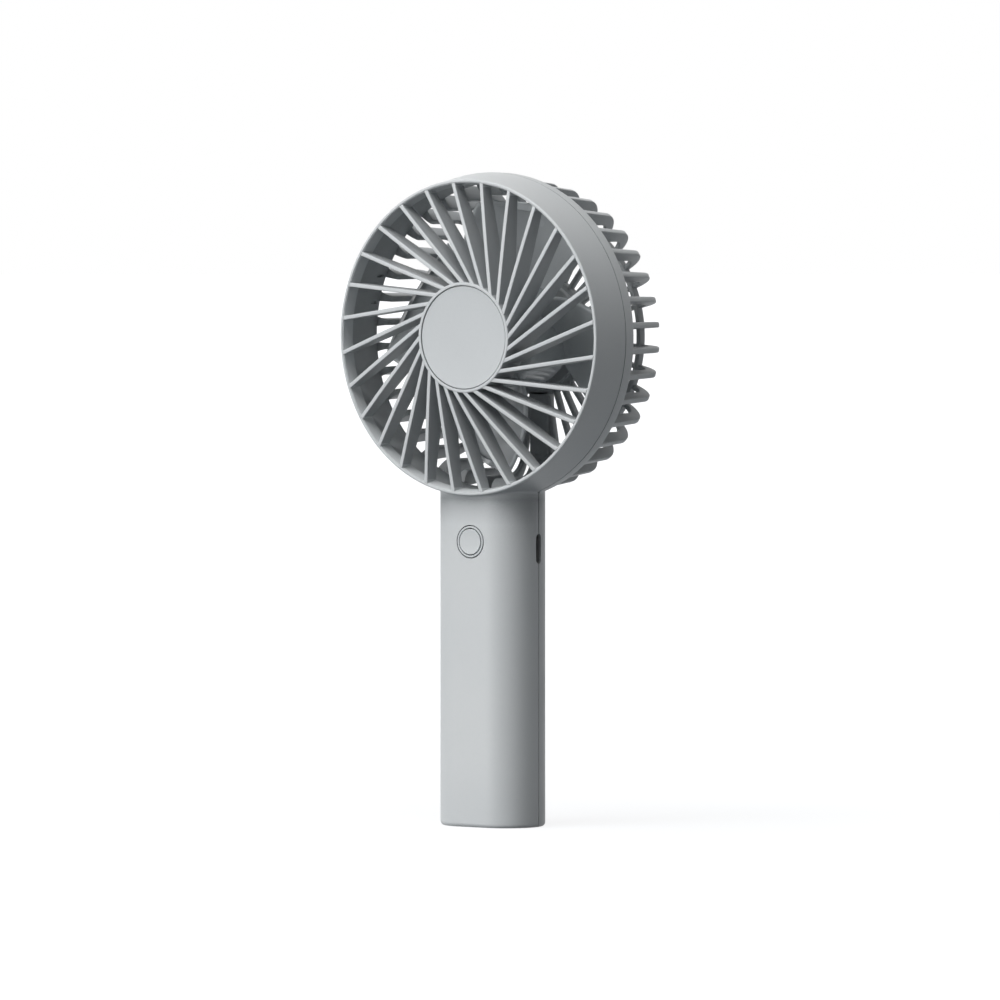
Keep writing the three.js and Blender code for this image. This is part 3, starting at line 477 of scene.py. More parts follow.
handle = {
    "width": 35.5, "depth": 24.4, "middle": 0.15, "rearSwell": 0.3, "wall": 2.0, "footWall": 2.2, "footRound": 1.3,
    "footSteps": 10, "sideRows": (20.0, 50.0, 80.0), "arcPoints": 72, "flatPoints": 14, "roomPoints": (40, 8),
    # the seam between the shells: its middle, its width, how deep its groove is and how near the stepped wall comes
    "parting": 0.6, "gap": 0.38, "groove": 1.2, "touch": 0.02,
    # radii about the fan axis of the saddles that end the column and its room, and a height under the room's saddle
    "capRadius": 50.05, "roomRadius": 52.6, "roomRim": 100.0,
    # the cove at the neck: its radius at the front, side and rear, the depths over which the last one takes over, the
    # depth from which the head counts as straight, and how far the last row sinks into the head
    "blendFront": 1.3, "blendSide": 1.35, "blendRear": 0.35, "blendSteps": 9, "rearFrom": 2.5, "rearOver": 7.0,
    "straightFrom": 3.0, "sink": 0.012,
}

# Band of the head as (radius, y, rounding): its lip is at the front and its parting line at the back
band = {
    "outline": [(49.3, -13.75, 0.15), (50.25, -13.75, 0.7), (50.3, -12.55, 0.0), (52.3, -0.55, 0.1), (50.0, -0.55, 0.0),
                (50.0, -8.6, 0.2), (48.95, -8.9, 0.1), (48.95, -9.3, 0.0), (49.3, -9.3, 0.0)],
    # the rear shell's ring: its skirt stands inside the band, with two snap pockets on each side
    "ring": [(49.05, -8.5, 0.1), (49.9, -8.5, 0.1), (49.9, -0.53, 0.0), (51.4, -0.53, 0.0), (51.4, -0.25, 0.0),
             (52.3, -0.25, 0.12), (52.15, 3.9, 0.3), (51.75, 4.6, 0.45), (49.05, 4.6, 0.2)],
    "pockets": (12.0, 22.5, 157.5, 168.0), "pocket": (48.5, 49.75, -0.2, 2.7, -0.5, 0.5), "steps": 320,
    "partingY": -0.55,
    # the head's outside as (y, radius)
    "profile": [(-14.0, 49.3), (-13.75, 49.45), (-13.6, 49.92), (-13.3, 50.18), (-12.95, 50.25), (-12.7, 50.27),
                (-0.55, 52.3), (4.0, 52.2), (6.5, 50.6), (30.0, 50.4)],
}


# Round the column: a point is (base + reach * normal), where base runs along the flats and normal round the ends
def stadium(width, depth, arcPoints, flatPoints):
    flat = (width - depth) / 2
    arc = np.radians(np.linspace(-90, 90, arcPoints))
    run = np.linspace(-flat, flat, flatPoints + 2)[1:-1]
    base = np.concatenate([np.full(arcPoints, flat), run[::-1], np.full(arcPoints, -flat), run])
    nx = np.concatenate([np.cos(arc), 0 * run, -np.cos(arc), 0 * run])
    ny = np.concatenate([np.sin(arc), 0 * run + 1, -np.sin(arc), 0 * run - 1])
    return base, nx, ny


def headRadiusAt(y):
    return np.interp(y, *zip(*band["profile"]))


# The outer column. Its back is a little fuller than its front, and it closes with a saddle that follows the head's
# inside.
def outerColumn(h):
    base, nx, ny = stadium(h["width"], h["depth"], h["arcPoints"], h["flatPoints"])
    half, foot = h["depth"] / 2, h["footRound"]
    swell = 1 + h["rearSwell"] / half * np.clip(ny, 0, 1)
    rows = []
    for a in np.radians(np.linspace(0, 90, h["footSteps"])):
        reach, z = half - foot + foot * math.sin(a), foot - foot * math.cos(a)
        rows.append(np.stack([base + reach * nx, h["middle"] + reach * ny * swell, z + 0 * base], -1))
    side = np.stack([base + half * nx, h["middle"] + half * ny * swell], -1)
    for z in h["sideRows"]:
        rows.append(np.column_stack([side, z + 0 * base]))
    rows.extend(neckRows(h, side, nx, ny))
    rows.extend(saddle(rows[-1], h["middle"], h["capRadius"]))
    return closedGrid(np.stack(rows))


# The blend at the neck is drawn by a ball that touches the side of the column, whose normal is (nx, ny), and the head.
# The ball meets the head at the depth touch = centre y + ball sin lean, where lean is the head's slope there; its
# centre is head radius + ball cos lean away from the fan axis.
def neckRows(h, side, nx, ny):
    ball = h["blendFront"] + (h["blendSide"] - h["blendFront"]) * np.clip(1 + ny, 0, 1)
    away = np.clip((side[:, 1] - h["rearFrom"]) / h["rearOver"], 0, 1)
    ball = ball + (h["blendRear"] - ball) * away * away * (3 - 2 * away)
    centre = np.stack([side[:, 0] + ball * nx, side[:, 1] + ball * ny], -1)
    touch, reach = centre[:, 1].copy(), 0.3
    for _ in range(10):
        slope = (headRadiusAt(touch + reach) - headRadiusAt(touch - reach)) / (2 * reach)
        lean = np.arctan(np.where(centre[:, 1] > h["straightFrom"], 0.0, slope))
        touch = (touch + centre[:, 1] + ball * np.sin(lean)) / 2
    contactRadius = headRadiusAt(touch)
    far = contactRadius + ball * np.cos(lean)
    centreZ = axisZ - np.sqrt(far ** 2 - centre[:, 0] ** 2)
    radial = np.stack([centre[:, 0], centreZ - axisZ], -1) / far[:, None]
    contact = np.column_stack([radial[:, 0] * contactRadius, touch, axisZ + radial[:, 1] * contactRadius])
    middle = np.column_stack([centre, centreZ])
    first = (np.column_stack([side, centreZ]) - middle) / ball[:, None]
    last = contact - middle
    last = last / np.linalg.norm(last, axis=1, keepdims=True)
    swing = np.arccos(np.clip((first * last).sum(axis=1), -1, 1))[:, None]
    rows = []
    for t in np.linspace(0, 1, h["blendSteps"]):
        turn = (np.sin((1 - t) * swing) * first + np.sin(t * swing) * last) / np.sin(swing)
        rows.append(middle + turn * ball[:, None])
    rows[-1] = rows[-1] - np.column_stack([radial[:, 0], 0 * touch, radial[:, 1]]) * h["sink"]
    return rows


# Rows that close a column under the head: the rim shrinks to its middle and z follows a circle round the fan axis
def saddle(rim, middle, radius):
    rows = []
    size = radius / np.hypot(rim[:, 0], rim[:, 2] - axisZ)
    x, y = rim[:, 0] * size, rim[:, 1]
    for k in (1.0, 0.75, 0.5, 0.25, 0.02):
        rows.append(np.column_stack([x * k, middle + (y - middle) * k, axisZ - np.sqrt(radius ** 2 - (x * k) ** 2)]))
    return rows


# The room in the column, from the foot's wall up to its saddle
def innerColumn(h):
    base, nx, ny = stadium(h["width"], h["depth"], *h["roomPoints"])
    reach = h["depth"] / 2 - h["wall"]
    side = np.stack([base + reach * nx, h["middle"] + reach * ny], -1)
    rim = np.column_stack([side, h["roomRim"] + 0 * base])
    rows = [np.column_stack([side, h["footWall"] + 0 * base])] + saddle(rim, h["middle"], h["roomRadius"])
    # the saddle's first row goes straight up from the side
    rows[1] = np.column_stack([side, axisZ - np.sqrt(h["roomRadius"] ** 2 - side[:, 0] ** 2)])
    return closedGrid(np.stack(rows))


# A stadium outline of (y, z) carried along X
def stadiumBar(width, depth, y, z, x0, x1):
    base, nx, ny = stadium(width, depth, 20, 4)
    rows = [np.column_stack([x + 0 * base, y + depth / 2 * ny, z + base + depth / 2 * nx]) for x in (x0, x1)]
    return closedGrid(np.stack(rows))


# A round bar along Y
def bar(radius, y0, y1, x, z, steps=64):
    return turned([(0, y0), (radius, y0), (radius, y1), (0, y1)], steps, x, z)


# The charging slot; its pocket, as (width, height, x at its end), thins the wall from the inside
slot = {"width": 9.6, "height": 2.8, "z": 88.75, "y": 0.6, "from": 7.0, "to": 30.0, "pocket": (10.8, 4.6, 16.85)}
button = {"z": 91.0, "hole": 5.35}


def slotTools(s):
    width, height, end = s["pocket"]
    return (stadiumBar(s["width"], s["height"], s["y"], s["z"], s["from"], s["to"]),
            stadiumBar(width, height, s["y"], s["z"], s["from"], end))


def makeFrontShell():
    h = handle
    piece = makeObject("frontShellSkin", [outerColumn(h)])
    near = h["parting"] - h["gap"] / 2
    cutAway(piece, innerColumn(h), slab(near, 60),
            bar(h["roomRadius"], band["partingY"], 30, 0, axisZ, 256),
            bar(button["hole"], -30, -6, 0, button["z"], 96), *slotTools(slot))
    combine(piece, makeObject("band", [turned(softened(band["outline"], 8), band["steps"])]), "UNION")
    dress(piece, "shellPlastic", "housing", "shell", "front_shell")


makeFrontShell()

# Rear shell: ring, ribs, tie ring, motor cup, strut and the back half of the handle. Past the groove of the seam its
# wall steps forward until it all but touches the front shell.

basket = {
    "count": 38, "radius": 49.4, "back": 27.8, "corner": 8.0, "sideDepth": 4.0, "backDepth": 2.4, "insideCorner": 5.6,
    # a rib's root stands in the ring from y = start, with a row at tuck, and leaves it at ringBack with a flared
    # fillet; its straight side has rows from sideFrom until sideShort before the corner
    "start": 3.0, "tuck": 4.2, "ringBack": 4.6, "rootRadius": 51.15, "rootDeepen": 2.2, "rootRound": 1.6,
    "rootFlare": 0.75, "sideFrom": 7.0, "sideShort": 0.8,
    "rootThickness": 1.9, "tipThickness": 1.5, "edge": 0.42, "plate": 18.55,
    "strutWidth": 8.0, "strutProud": 1.2, "strutInner": 18.4, "strutEdge": 1.1,
    "tie": [(38.55, 24.7, 0.3), (40.15, 24.7, 0.3), (40.15, 27.65, 0.5), (38.55, 27.65, 0.5)],
    "cup": [(10.0, 10.8, 0.0), (14.1, 10.8, 0.6), (14.1, 24.2, 0.5), (17.4, 24.2, 0.5), (17.4, 25.4, 0.3),
            (19.5, 25.4, 0.4), (19.5, 27.8, 0.6), (15.9, 27.8, 0.25), (15.9, 26.45, 0.0), (12.3, 26.45, 0.2),
            (12.3, 11.7, 0.0), (10.0, 11.7, 0.0)],
}

screws = {
    "places": [(-9.0, 100.4), (9.0, 100.4), (0.0, 5.8)],
    "nodes": ["shell_screw_left", "shell_screw_right", "shell_screw_foot"],
    "names": ["shellScrewLeft", "shellScrewRight", "shellScrewFoot"], "seat": 8.0, "recess": 2.3, "length": 13.0,
    "radius": 1.0, "headRadius": 1.9, "headHeight": 1.3, "slotWidth": 0.55, "slotReach": 1.05, "slotDepth": 0.7,
    "point": 0.35, "threadFrom": 1.2, "threadShort": 1.0, "threadDepth": 0.14, "threadRows": 61, "headLean": 0.05,
}


# Points round a rectangle of two half sizes, with round corners
def roundedSection(halfA, halfB, radius, steps=4):
    corner = np.radians(np.linspace(0, 90, steps))
    angle = np.concatenate([corner + k * math.pi / 2 for k in range(4)])
    signA = np.repeat([1, -1, -1, 1], steps)
    signB = np.repeat([1, 1, -1, -1], steps)
    return signA * (halfA - radius) + radius * np.cos(angle), signB * (halfB - radius) + radius * np.sin(angle)


# A rib: its section is a rounded rectangle between an outer and an inner line in the (radius, y) plane.
# Both lines run up the side, round the corner and along the back to the motor plate.
def ribSurface(b, proud, thickness, edge, inner, flare=0.0):
    side, back = b["radius"] + proud, b["back"] + proud
    insideSide, insideBack = b["radius"] - b["sideDepth"], b["back"] - b["backDepth"]
    cornerX, cornerY = b["radius"] - b["corner"], b["back"] - b["corner"]
    insideX, insideY = insideSide - b["insideCorner"], insideBack - b["insideCorner"]
    ringBack, start, sideTop = b["ringBack"], b["start"], max(b["rootRadius"], side)
    fillet = ringBack + b["rootRound"] * (1 - np.cos(np.radians(np.linspace(0, 90, 7))))
    depths = np.concatenate([[start, b["tuck"]], fillet, np.linspace(b["sideFrom"], cornerY - b["sideShort"], 10)])
    lean = (depths - start) / (cornerY - start)
    turn = np.radians(np.linspace(0, 90, 13))
    run = np.linspace(0, 1, 8)[1:]
    outerSide = np.stack([sideTop + (side - sideTop) * lean, start + (cornerY - start) * lean], -1)
    deepen = np.clip((outerSide[:, 1] - ringBack) / b["rootDeepen"], 0, 1)
    deepen = np.sqrt(1 - (1 - deepen) ** 2)
    innerSide = np.stack([b["radius"] + (insideSide - b["radius"]) * deepen, start + (insideY - start) * lean], -1)
    outerBend, innerBend = b["corner"] + proud, b["insideCorner"]
    outerTurn = np.stack([cornerX + outerBend * np.cos(turn), cornerY + outerBend * np.sin(turn)], -1)
    innerTurn = np.stack([insideX + innerBend * np.cos(turn), insideY + innerBend * np.sin(turn)], -1)
    outerBack = np.stack([cornerX + (inner - cornerX) * run, back + 0 * run], -1)
    innerBack = np.stack([insideX + (inner - insideX) * run, insideBack + 0 * run], -1)
    outer = np.concatenate([outerSide, outerTurn, outerBack])
    inside = np.concatenate([innerSide, innerTurn, innerBack])
    depth = np.linalg.norm(outer - inside, axis=1)[:, None]
    toward = (outer - inside) / depth
    sides, turns = len(lean), len(turn)
    width = np.interp(np.arange(len(outer)), [0, sides, sides + turns, len(outer) - 1], thickness)
    fall = np.clip((outer[:, 1] - ringBack) / b["rootRound"], 0, 1)
    width = (width + 2 * flare * (1 - np.sqrt(1 - (1 - fall) ** 2)))[:, None]
    across, along = roundedSection(width / 2, depth / 2, edge)
    middle = (outer + inside) / 2
    points = np.stack([middle[:, :1] + toward[:, :1] * along, middle[:, 1:] + toward[:, 1:] * along, across], -1)
    return closedGrid(points)


def makeRearShell():
    h, b = handle, basket
    piece = makeObject("rearShellSkin", [outerColumn(h)])
    near = h["parting"] + h["gap"] / 2
    cutAway(piece, slab(-60, near))
    step = makeObject("step", [innerColumn(h | {"wall": h["groove"], "footWall": h["groove"]})])
    cutAway(step, slab(-60, near - h["gap"] + h["touch"]), slab(near + h["touch"], 60))
    combine(piece, step, "UNION")
    cutAway(piece, innerColumn(h), *slotTools(slot))
    for x, z in screws["places"]:
        cutAway(piece, bar(screws["recess"], screws["seat"], 30, x, z))
    ribs = []
    root, tip = b["rootThickness"], b["tipThickness"]
    rib = ribSurface(b, 0.0, [root, root, tip, tip], b["edge"], b["plate"], b["rootFlare"])
    for k in range(1, b["count"]):
        ribs.append(aroundAxis(rib, -90 + 360 * k / b["count"]))
    wide = b["strutWidth"]
    ribs.append(aroundAxis(ribSurface(b, b["strutProud"], [wide] * 4, b["strutEdge"], b["strutInner"]), -90))
    rest = makeObject("basket", ribs + [turned(softened(b["tie"]), 240), turned(softened(b["cup"]), 160)])
    ring = makeObject("ring", [turned(softened(band["ring"]), band["steps"])])
    cutAway(ring, *(aroundAxis(block(*band["pocket"]), angle) for angle in band["pockets"]))
    joinInto(piece, ring)
    joinInto(piece, rest)
    dress(piece, "shellPlastic", "housing", "shell", "rear_shell")


makeRearShell()


# A pan-head screw along Y with a cross recess; its shank carries a fine thread ripple
def makeScrews(s):
    for name, nodeName, (x, z) in zip(s["names"], s["nodes"], s["places"]):
        tip = s["seat"] - s["length"]
        thread = np.linspace(tip + s["threadFrom"], s["seat"] - s["threadShort"], s["threadRows"])
        ripple = s["radius"] - s["threadDepth"] * (np.arange(s["threadRows"]) % 2)
        shank = np.column_stack([ripple, thread])
        head = softened([(s["radius"], s["seat"]), (s["headRadius"], s["seat"] + s["headLean"], 0.15),
                         (s["headRadius"], s["seat"] + s["headHeight"], 0.7), (0, s["seat"] + s["headHeight"])])
        outline = np.concatenate([[(0, tip), (s["point"], tip)], shank, head])
        piece = makeObject(name, [turned(outline, 40, x, z)])
        top = s["seat"] + s["headHeight"]
        reach, half = s["slotReach"], s["slotWidth"] / 2
        cutAway(piece, block(x - reach, x + reach, top - s["slotDepth"], top + 2, z - half, z + half),
                block(x - half, x + half, top - s["slotDepth"], top + 2, z - reach, z + reach))
        dress(piece, "screwSteel", "housing", "steel", nodeName)


makeScrews(screws)

# Front grille and hub

grille = {
    "count": 28, "turn": 8.17, "offset": 12.37, "thickness": 1.3, "edge": 0.2, "inner": 17.2, "outer": 49.2,
    "front": [(0.0, -15.9), (0.5, -15.1), (1.0, -13.8)], "rear": [(0.0, -6.9), (0.5, -8.2), (1.0, -9.5)],
    "rim": [(49.1, -13.5, 0.05), (49.26, -13.5, 0.0), (49.26, -9.4, 0.0), (48.3, -9.4, 0.1)],
    "hub": [(0, -14.6), (16.55, -14.6, 0.0), (16.55, -16.0, 0.12), (17.6, -16.0, 0.35), (17.6, -6.3, 0.3),
            (16.7, -6.3, 0.3), (16.7, -13.2, 0.4), (0, -13.2)],
}


# A fin: a rounded rectangle of its thickness and depth, carried along a straight line beside the axis.
# Its ends follow the hub and the lip, since x = sqrt(radius^2 - offset^2) for each side of its thickness.
def finSurface(g):
    t = np.linspace(0, 1, 14)[:, None]
    front = quadratic(g["front"], t)
    rear = quadratic(g["rear"], t)
    depth = rear - front
    across, along = roundedSection(g["thickness"] / 2, depth / 2, g["edge"], 5)
    z = -g["offset"] + across + 0 * t
    inner = np.sqrt(g["inner"] ** 2 - z ** 2)
    outer = np.sqrt(g["outer"] ** 2 - z ** 2)
    x = inner + (outer - inner) * t
    return closedGrid(np.stack([x, (front + rear) / 2 + along, z], -1))


# The parabola through three (t, value) points
def quadratic(points, t):
    times, values = zip(*points)
    return np.polyval(np.polyfit(times, values, 2), t)


def makeGrille(g):
    fin = finSurface(g)
    fins = [aroundAxis(fin, g["turn"] + 360 * k / g["count"]) for k in range(g["count"])]
    piece = makeObject("frontGrilleSkin", fins + [turned(softened(g["rim"]), 280), turned(softened(g["hub"]), 200)])
    dress(piece, "shellPlastic", "housing", "shell", "front_grille")


makeGrille(grille)

inlay = {"radius": 16.3, "front": -15.75, "thickness": 1.1, "dish": 0.25, "dishShare": 0.985, "edge": 0.18}


# A dished disc: y = front + dish (1 - (r / radius)^2), with a small round edge
def makeInlay(i):
    share = np.linspace(0, i["dishShare"], 16)
    face = np.column_stack([i["radius"] * share, i["front"] + i["dish"] * (1 - share ** 2)])
    edge = softened([(i["radius"] * i["dishShare"], i["front"]), (i["radius"], i["front"], i["edge"]),
                     (i["radius"], i["front"] + i["thickness"], 0.1), (0, i["front"] + i["thickness"])])
    piece = makeObject("hubInlaySkin", [turned(np.concatenate([face, edge[1:]]), 200)])
    dress(piece, "inlayPlastic", "housing", "shell", "hub_inlay")


makeInlay(inlay)

rearCap = {"radius": 15.6, "front": 26.6, "back": 27.8, "dish": 0.3, "rim": 1.2}


# The disc behind the motor: y = back - dish (1 - (r / reach)^4)
def makeRearCap(c):
    share = np.linspace(0, 1, 14)
    reach = c["radius"] - c["rim"]
    face = np.column_stack([reach * share, c["back"] - c["dish"] * (1 - share ** 4)])[::-1]
    edge = softened([(0, c["front"]), (c["radius"], c["front"], 0.15), (c["radius"], c["back"], 0.3),
                     (reach, c["back"])])
    piece = makeObject("rearCapSkin", [turned(np.concatenate([edge[:-1], face]), 180)])
    dress(piece, "inlayPlastic", "housing", "shell", "rear_cap")


makeRearCap(rearCap)

# Impeller

impeller = {
    # a blade grows from "root" inside the hub and its sweep counts from "base"; "nose" is the share of its chord that
    # thins to a round edge
    "count": 4, "root": 15.2, "base": 15.55, "tip": 43.0, "front": 0.6, "depth": 18.6, "thickness": 1.4, "nose": 0.018,
    "turn": 8.5,
    "frontSweep": [31, 25, 17, 8.5, 0], "rearSweep": [-38, -45, -48.5, -50, -51.5],
    "hub": [(0, -1.7), (9.6, -1.7, 14.0), (16.3, 0.9, 3.2), (16.3, 19.7, 0.3), (14.8, 19.7, 0.3), (14.8, 3.2, 1.2),
            (2.9, 1.7, 0.3), (2.9, 8.0, 0.3), (1.15, 8.0), (1.15, 0.3), (0, 0.3)],
}


# The middle surface of a blade. Its angle runs from the front sweep to the rear sweep as u goes from 0 to 1,
# and y = front + depth sin(u pi / 2); t runs out from the hub to the tip.
def bladeMiddle(p, t, u):
    times = np.linspace(0, 1, 5)
    ahead = np.polyval(np.polyfit(times, p["frontSweep"], 4), t)
    behind = np.polyval(np.polyfit(times, p["rearSweep"], 4), t)
    radius = p["base"] + (p["tip"] - p["base"]) * t
    angle = np.radians(p["turn"] + ahead + (behind - ahead) * u)
    y = p["front"] + p["depth"] * np.sin(u * math.pi / 2)
    return np.stack([radius * np.cos(angle), y + 0 * radius, radius * np.sin(angle)], -1)


# A blade: the middle surface thickened along its normal; the thickness falls off as a circle at both edges and the tip
def bladeSurface(p):
    rows, columns = 30, 72
    v = np.arange(columns) / columns
    u = (1 - np.cos(2 * math.pi * v)) / 2
    sign = np.where(v < 0.5, 1.0, -1.0)
    tip = np.sin(np.radians(np.linspace(0, 90, 7)))
    span = p["tip"] - p["base"]
    start = (p["root"] - p["base"]) / span
    stop = 1 - p["thickness"] / 2 / span
    t = np.concatenate([np.linspace(start, stop, rows), stop + (1 - stop) * tip[1:]])
    full = np.concatenate([np.ones(rows), np.sqrt(1 - tip[1:] ** 2)])
    t, u = t[:, None], u[None, :]
    step = 1e-3
    here = bladeMiddle(p, t, u)
    out = bladeMiddle(p, t + step, u) - bladeMiddle(p, t - step, u)
    aft = bladeMiddle(p, t, u + step) - bladeMiddle(p, t, u - step)
    normal = np.cross(out, aft)
    normal /= np.linalg.norm(normal, axis=-1, keepdims=True)
    nose = np.clip(np.minimum(u, 1 - u) / p["nose"], 0, 1)
    half = p["thickness"] / 2 * np.sqrt(1 - (1 - nose) ** 2) * full[:, None] * sign
    return closedGrid(here + normal * half[..., None])


def makeImpeller(p):
    blade = bladeSurface(p)
    blades = [aroundAxis(blade, 360 * k / p["count"]) for k in range(p["count"])]
    piece = makeObject("impellerSkin", blades + [turned(softened(p["hub"], 8), 160)])
    dress(piece, "bladePlastic", "fan_rotor", "blade", "impeller")


makeImpeller(impeller)

# Power button and its bezel

cap = {
    "radius": 4.06, "front": -12.25, "dish": 0.12, "dishShare": 0.93, "edge": 0.22, "flangeRadius": 5.9,
    "flangeFront": -8.85, "flangeBack": -8.15, "stemRadius": 1.8, "bezelInner": 4.4, "bezelOuter": 4.99,
    "bezelFront": -12.15, "bezelFlange": 6.6, "bezelStep": -9.9, "bezelBack": -9.15,
}


# The button's face is a shallow dish: y = front + dish (1 - (r / radius)^2)
def makeButton(c, stemBack):
    share = np.linspace(0, c["dishShare"], 12)
    face = np.column_stack([c["radius"] * share, c["front"] + c["dish"] * (1 - share ** 2)])
    rest = softened([(c["radius"] * c["dishShare"], c["front"]), (c["radius"], c["front"], c["edge"]),
                     (c["radius"], c["flangeFront"]),
                     (c["flangeRadius"], c["flangeFront"], 0.1), (c["flangeRadius"], c["flangeBack"], 0.1),
                     (c["stemRadius"], c["flangeBack"], 0.2), (c["stemRadius"], stemBack, 0.2), (0, stemBack)])
    piece = makeObject("powerButtonSkin", [turned(np.concatenate([face, rest[1:]]), 120, 0, button["z"])])
    dress(piece, "buttonPlastic", "button", "button", "power_button")
    ring = softened([(c["bezelInner"], c["bezelFront"], 0.1), (c["bezelOuter"], c["bezelFront"], 0.12),
                     (c["bezelOuter"], c["bezelStep"], 0.1), (c["bezelFlange"], c["bezelStep"], 0.1),
                     (c["bezelFlange"], c["bezelBack"], 0.1), (c["bezelInner"], c["bezelBack"], 0.1)])
    piece = makeObject("buttonBezelSkin", [turned(ring, 120, 0, button["z"])])
    dress(piece, "inlayPlastic", "housing", "shell", "button_bezel")


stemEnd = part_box("power_button")[1].y / mm
makeButton(cap, stemEnd)

# Charging socket

socket = {"width": 8.94, "height": 3.26, "z": 88.7, "wall": 0.3, "from": 7.85, "to": 15.15, "backWall": 0.6,
          "chamfer": 0.2}


# A drawn shell: a stadium carried along X whose rim is rounded over, with the cavity as an inner skin
def makeSocket(s):
    base, nx, ny = stadium(s["width"], s["height"], 24, 6)
    half, thin = s["height"] / 2, s["height"] / 2 - s["wall"]
    lip = s["wall"] / 2
    rows = [(thin, s["from"] + s["backWall"]), (thin, s["to"] - lip)]
    for a in np.radians(np.linspace(0, 180, 7))[1:-1]:
        rows.append((half - lip - lip * math.cos(a), s["to"] - lip + lip * math.sin(a)))
    rows += [(half, s["to"] - lip), (half, s["from"] + s["chamfer"]), (half - s["chamfer"], s["from"])]
    points = [np.column_stack([x + 0 * base, slot["y"] + r * ny, s["z"] + base + r * nx]) for r, x in rows]
    piece = makeObject("chargingSocketSkin", [closedGrid(np.stack(points))])
    dress(piece, "nickelPlate", "housing", "nickel", "usb_c_socket")


makeSocket(socket)

# Pieces that keep their solid from the model and get a finish

inside = {
    "motor_shaft": "screwSteel", "rotor_core": "coreSteel", "commutator": "turnedBrass", "motor_can": "canSteel",
    "motor_magnet_left": "ferriteBlock", "motor_magnet_right": "ferriteBlock", "front_bushing": "turnedBrass",
    "rear_bushing": "turnedBrass", "motor_end_cap": "blackNylon", "motor_lead_left": "redJacket",
    "motor_lead_right": "blackJacket", "battery_cell": "cellSleeve", "battery_pad_front": "padFoam",
    "battery_pad_rear": "padFoam", "positive_tab": "nickelPlate", "negative_tab": "nickelPlate",
    "positive_lead": "redJacket", "negative_lead": "blackJacket", "circuit_board": "solderMask",
    "usb_c_tongue": "blackNylon", "tact_switch": "blackNylon", "switch_plunger": "whiteNylon",
    "control_chip": "blackNylon", "charger_chip": "blackNylon", "power_inductor": "ferriteBlock",
    "status_led": "whiteNylon", "board_screw_top": "screwSteel", "board_screw_bottom": "screwSteel",
}


def finishInside(table):
    for name, finish in table.items():
        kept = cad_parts[name]
        for place in kept.material_slots:
            place.material = materials[finish]
        if not kept.material_slots:
            kept.data.materials.append(materials[finish])
    print("inner pieces finished:", len(table))


finishInside(inside)

# Stage: floor, surroundings and lamps

stage = {
    # the floor's rings and its drop under the foot in metres
    "floorRings": (0.0, 0.25, 1.0, 3.0, 9.0), "floorSteps": 96, "floorDrop": 0.00003, "floorColour": "666a6e",
    # the floor's own light as the camera sees it, near and far, and the distances where near ends and far begins
    "liftNear": 0.86, "liftFar": 0.99, "liftFrom": 0.1, "liftTo": 0.7, "ambient": 0.12,
    # each lamp: degrees to the right of the front, degrees up, width of the light in degrees, level
    "lamps": {"overheadLamp": (-12.0, 66.0, 48.0, 0.69), "frontLamp": (-26.0, 9.0, 34.0, 0.58),
              "sideLamp": (62.0, 6.0, 40.0, 0.035)},
}


# 1 for a ray that comes straight, mirrored or refracted from the camera, and 0 for one that carries soft light
def seenRay(tree):
    path = node(tree, "ShaderNodeLightPath")
    direct = maths(tree, "MAXIMUM", path.outputs["Is Camera Ray"], path.outputs["Is Glossy Ray"])
    return maths(tree, "MAXIMUM", direct, path.outputs["Is Transmission Ray"])


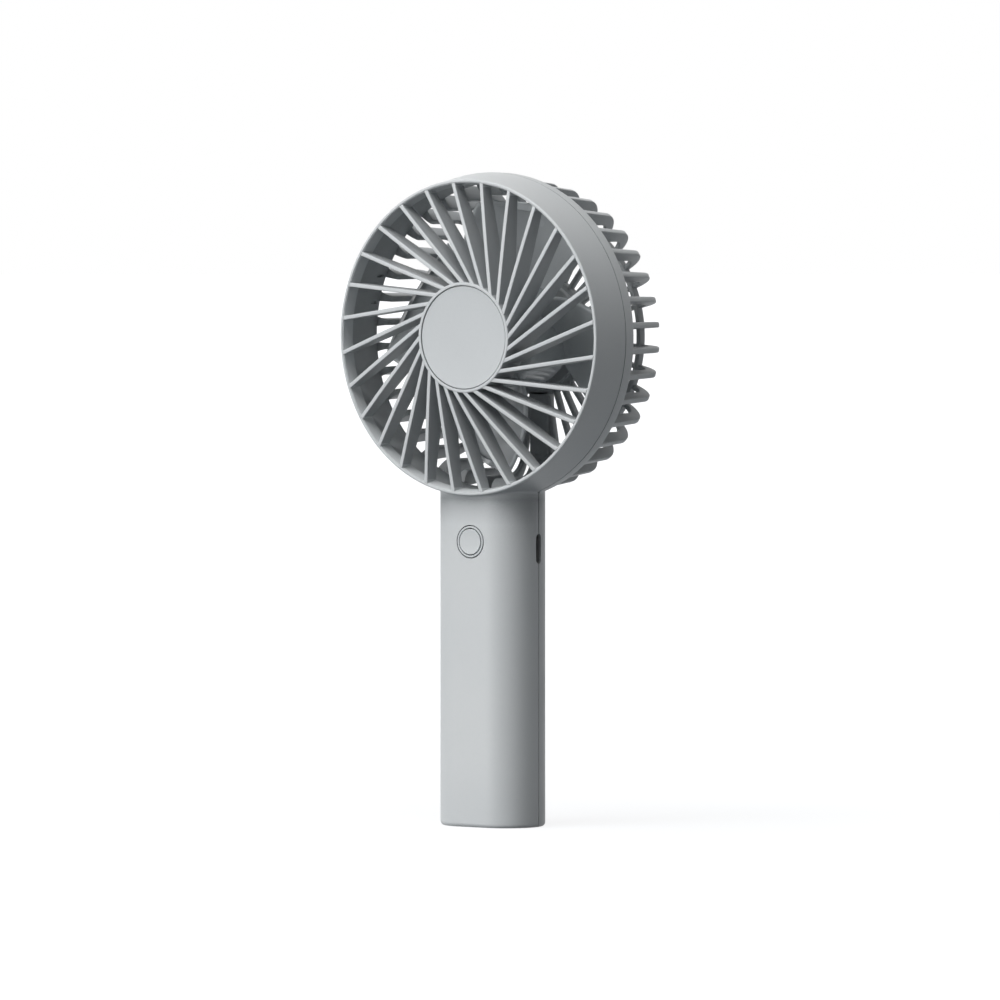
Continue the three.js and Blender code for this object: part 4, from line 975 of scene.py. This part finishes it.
# Paper that takes the object's shadow and glows towards the camera, so that it ends in white
def makeFloor(s):
    angle = np.linspace(0, 2 * math.pi, s["floorSteps"], endpoint=False)
    rings = np.array(s["floorRings"])[:, None]
    points = np.stack([rings * np.cos(angle), rings * np.sin(angle), 0 * rings * angle - s["floorDrop"]], -1)
    points = points.reshape(-1, 3) / mm
    floor = makeObject("floor", [(points, gridFaces(len(rings), s["floorSteps"], False, True))])
    material = bpy.data.materials.new("floorPaper")
    material.use_nodes = True
    tree = material.node_tree
    shader = tree.nodes["Principled BSDF"]
    shader.inputs["Base Color"].default_value = linear(s["floorColour"])
    shader.inputs["Roughness"].default_value = 0.9
    shader.inputs["Specular IOR Level"].default_value = 0.1
    glow = node(tree, "ShaderNodeEmission")
    reach = node(tree, "ShaderNodeVectorMath", operation="LENGTH")
    tree.links.new(node(tree, "ShaderNodeTexCoord").outputs["Object"], reach.inputs[0])
    lift = spread(tree, reach.outputs["Value"], s["liftNear"], s["liftFar"], s["liftFrom"], s["liftTo"])
    tree.links.new(maths(tree, "MULTIPLY", seenRay(tree), lift), glow.inputs["Strength"])
    both = node(tree, "ShaderNodeAddShader")
    tree.links.new(shader.outputs["BSDF"], both.inputs[0])
    tree.links.new(glow.outputs["Emission"], both.inputs[1])
    tree.links.new(both.outputs["Shader"], tree.nodes["Material Output"].inputs["Surface"])
    floor.data.materials.append(material)


# White where it is seen, and a weak even light for everything else
def makeWorld(s):
    world = bpy.data.worlds.new("studio")
    scene.world = world
    world.use_nodes = True
    tree = world.node_tree
    background = tree.nodes["Background"]
    background.inputs["Color"].default_value = (1, 1, 1, 1)
    tree.links.new(spread(tree, seenRay(tree), s["ambient"], 1.0, 0.0, 1.0), background.inputs["Strength"])


# A far soft light. A level of 1 shows a white sheet that faces it as white, and takes a strength of pi
def makeLamp(name, turn, rise, width, level):
    data = bpy.data.lights.new(name, "SUN")
    data.angle, data.energy = math.radians(width), level * math.pi
    turn, rise = math.radians(turn), math.radians(rise)
    away = Vector((math.sin(turn) * math.cos(rise), -math.cos(turn) * math.cos(rise), math.sin(rise)))
    lamp = bpy.data.objects.new(name, data)
    lamp.location = away * 2
    lamp.rotation_mode = "QUATERNION"
    lamp.rotation_quaternion = away.to_track_quat("Z", "Y")
    scene.collection.objects.link(lamp)


makeFloor(stage)
makeWorld(stage)
for lampName, values in stage["lamps"].items():
    makeLamp(lampName, *values)
scene.view_settings.view_transform = "Standard"
print("stage made")
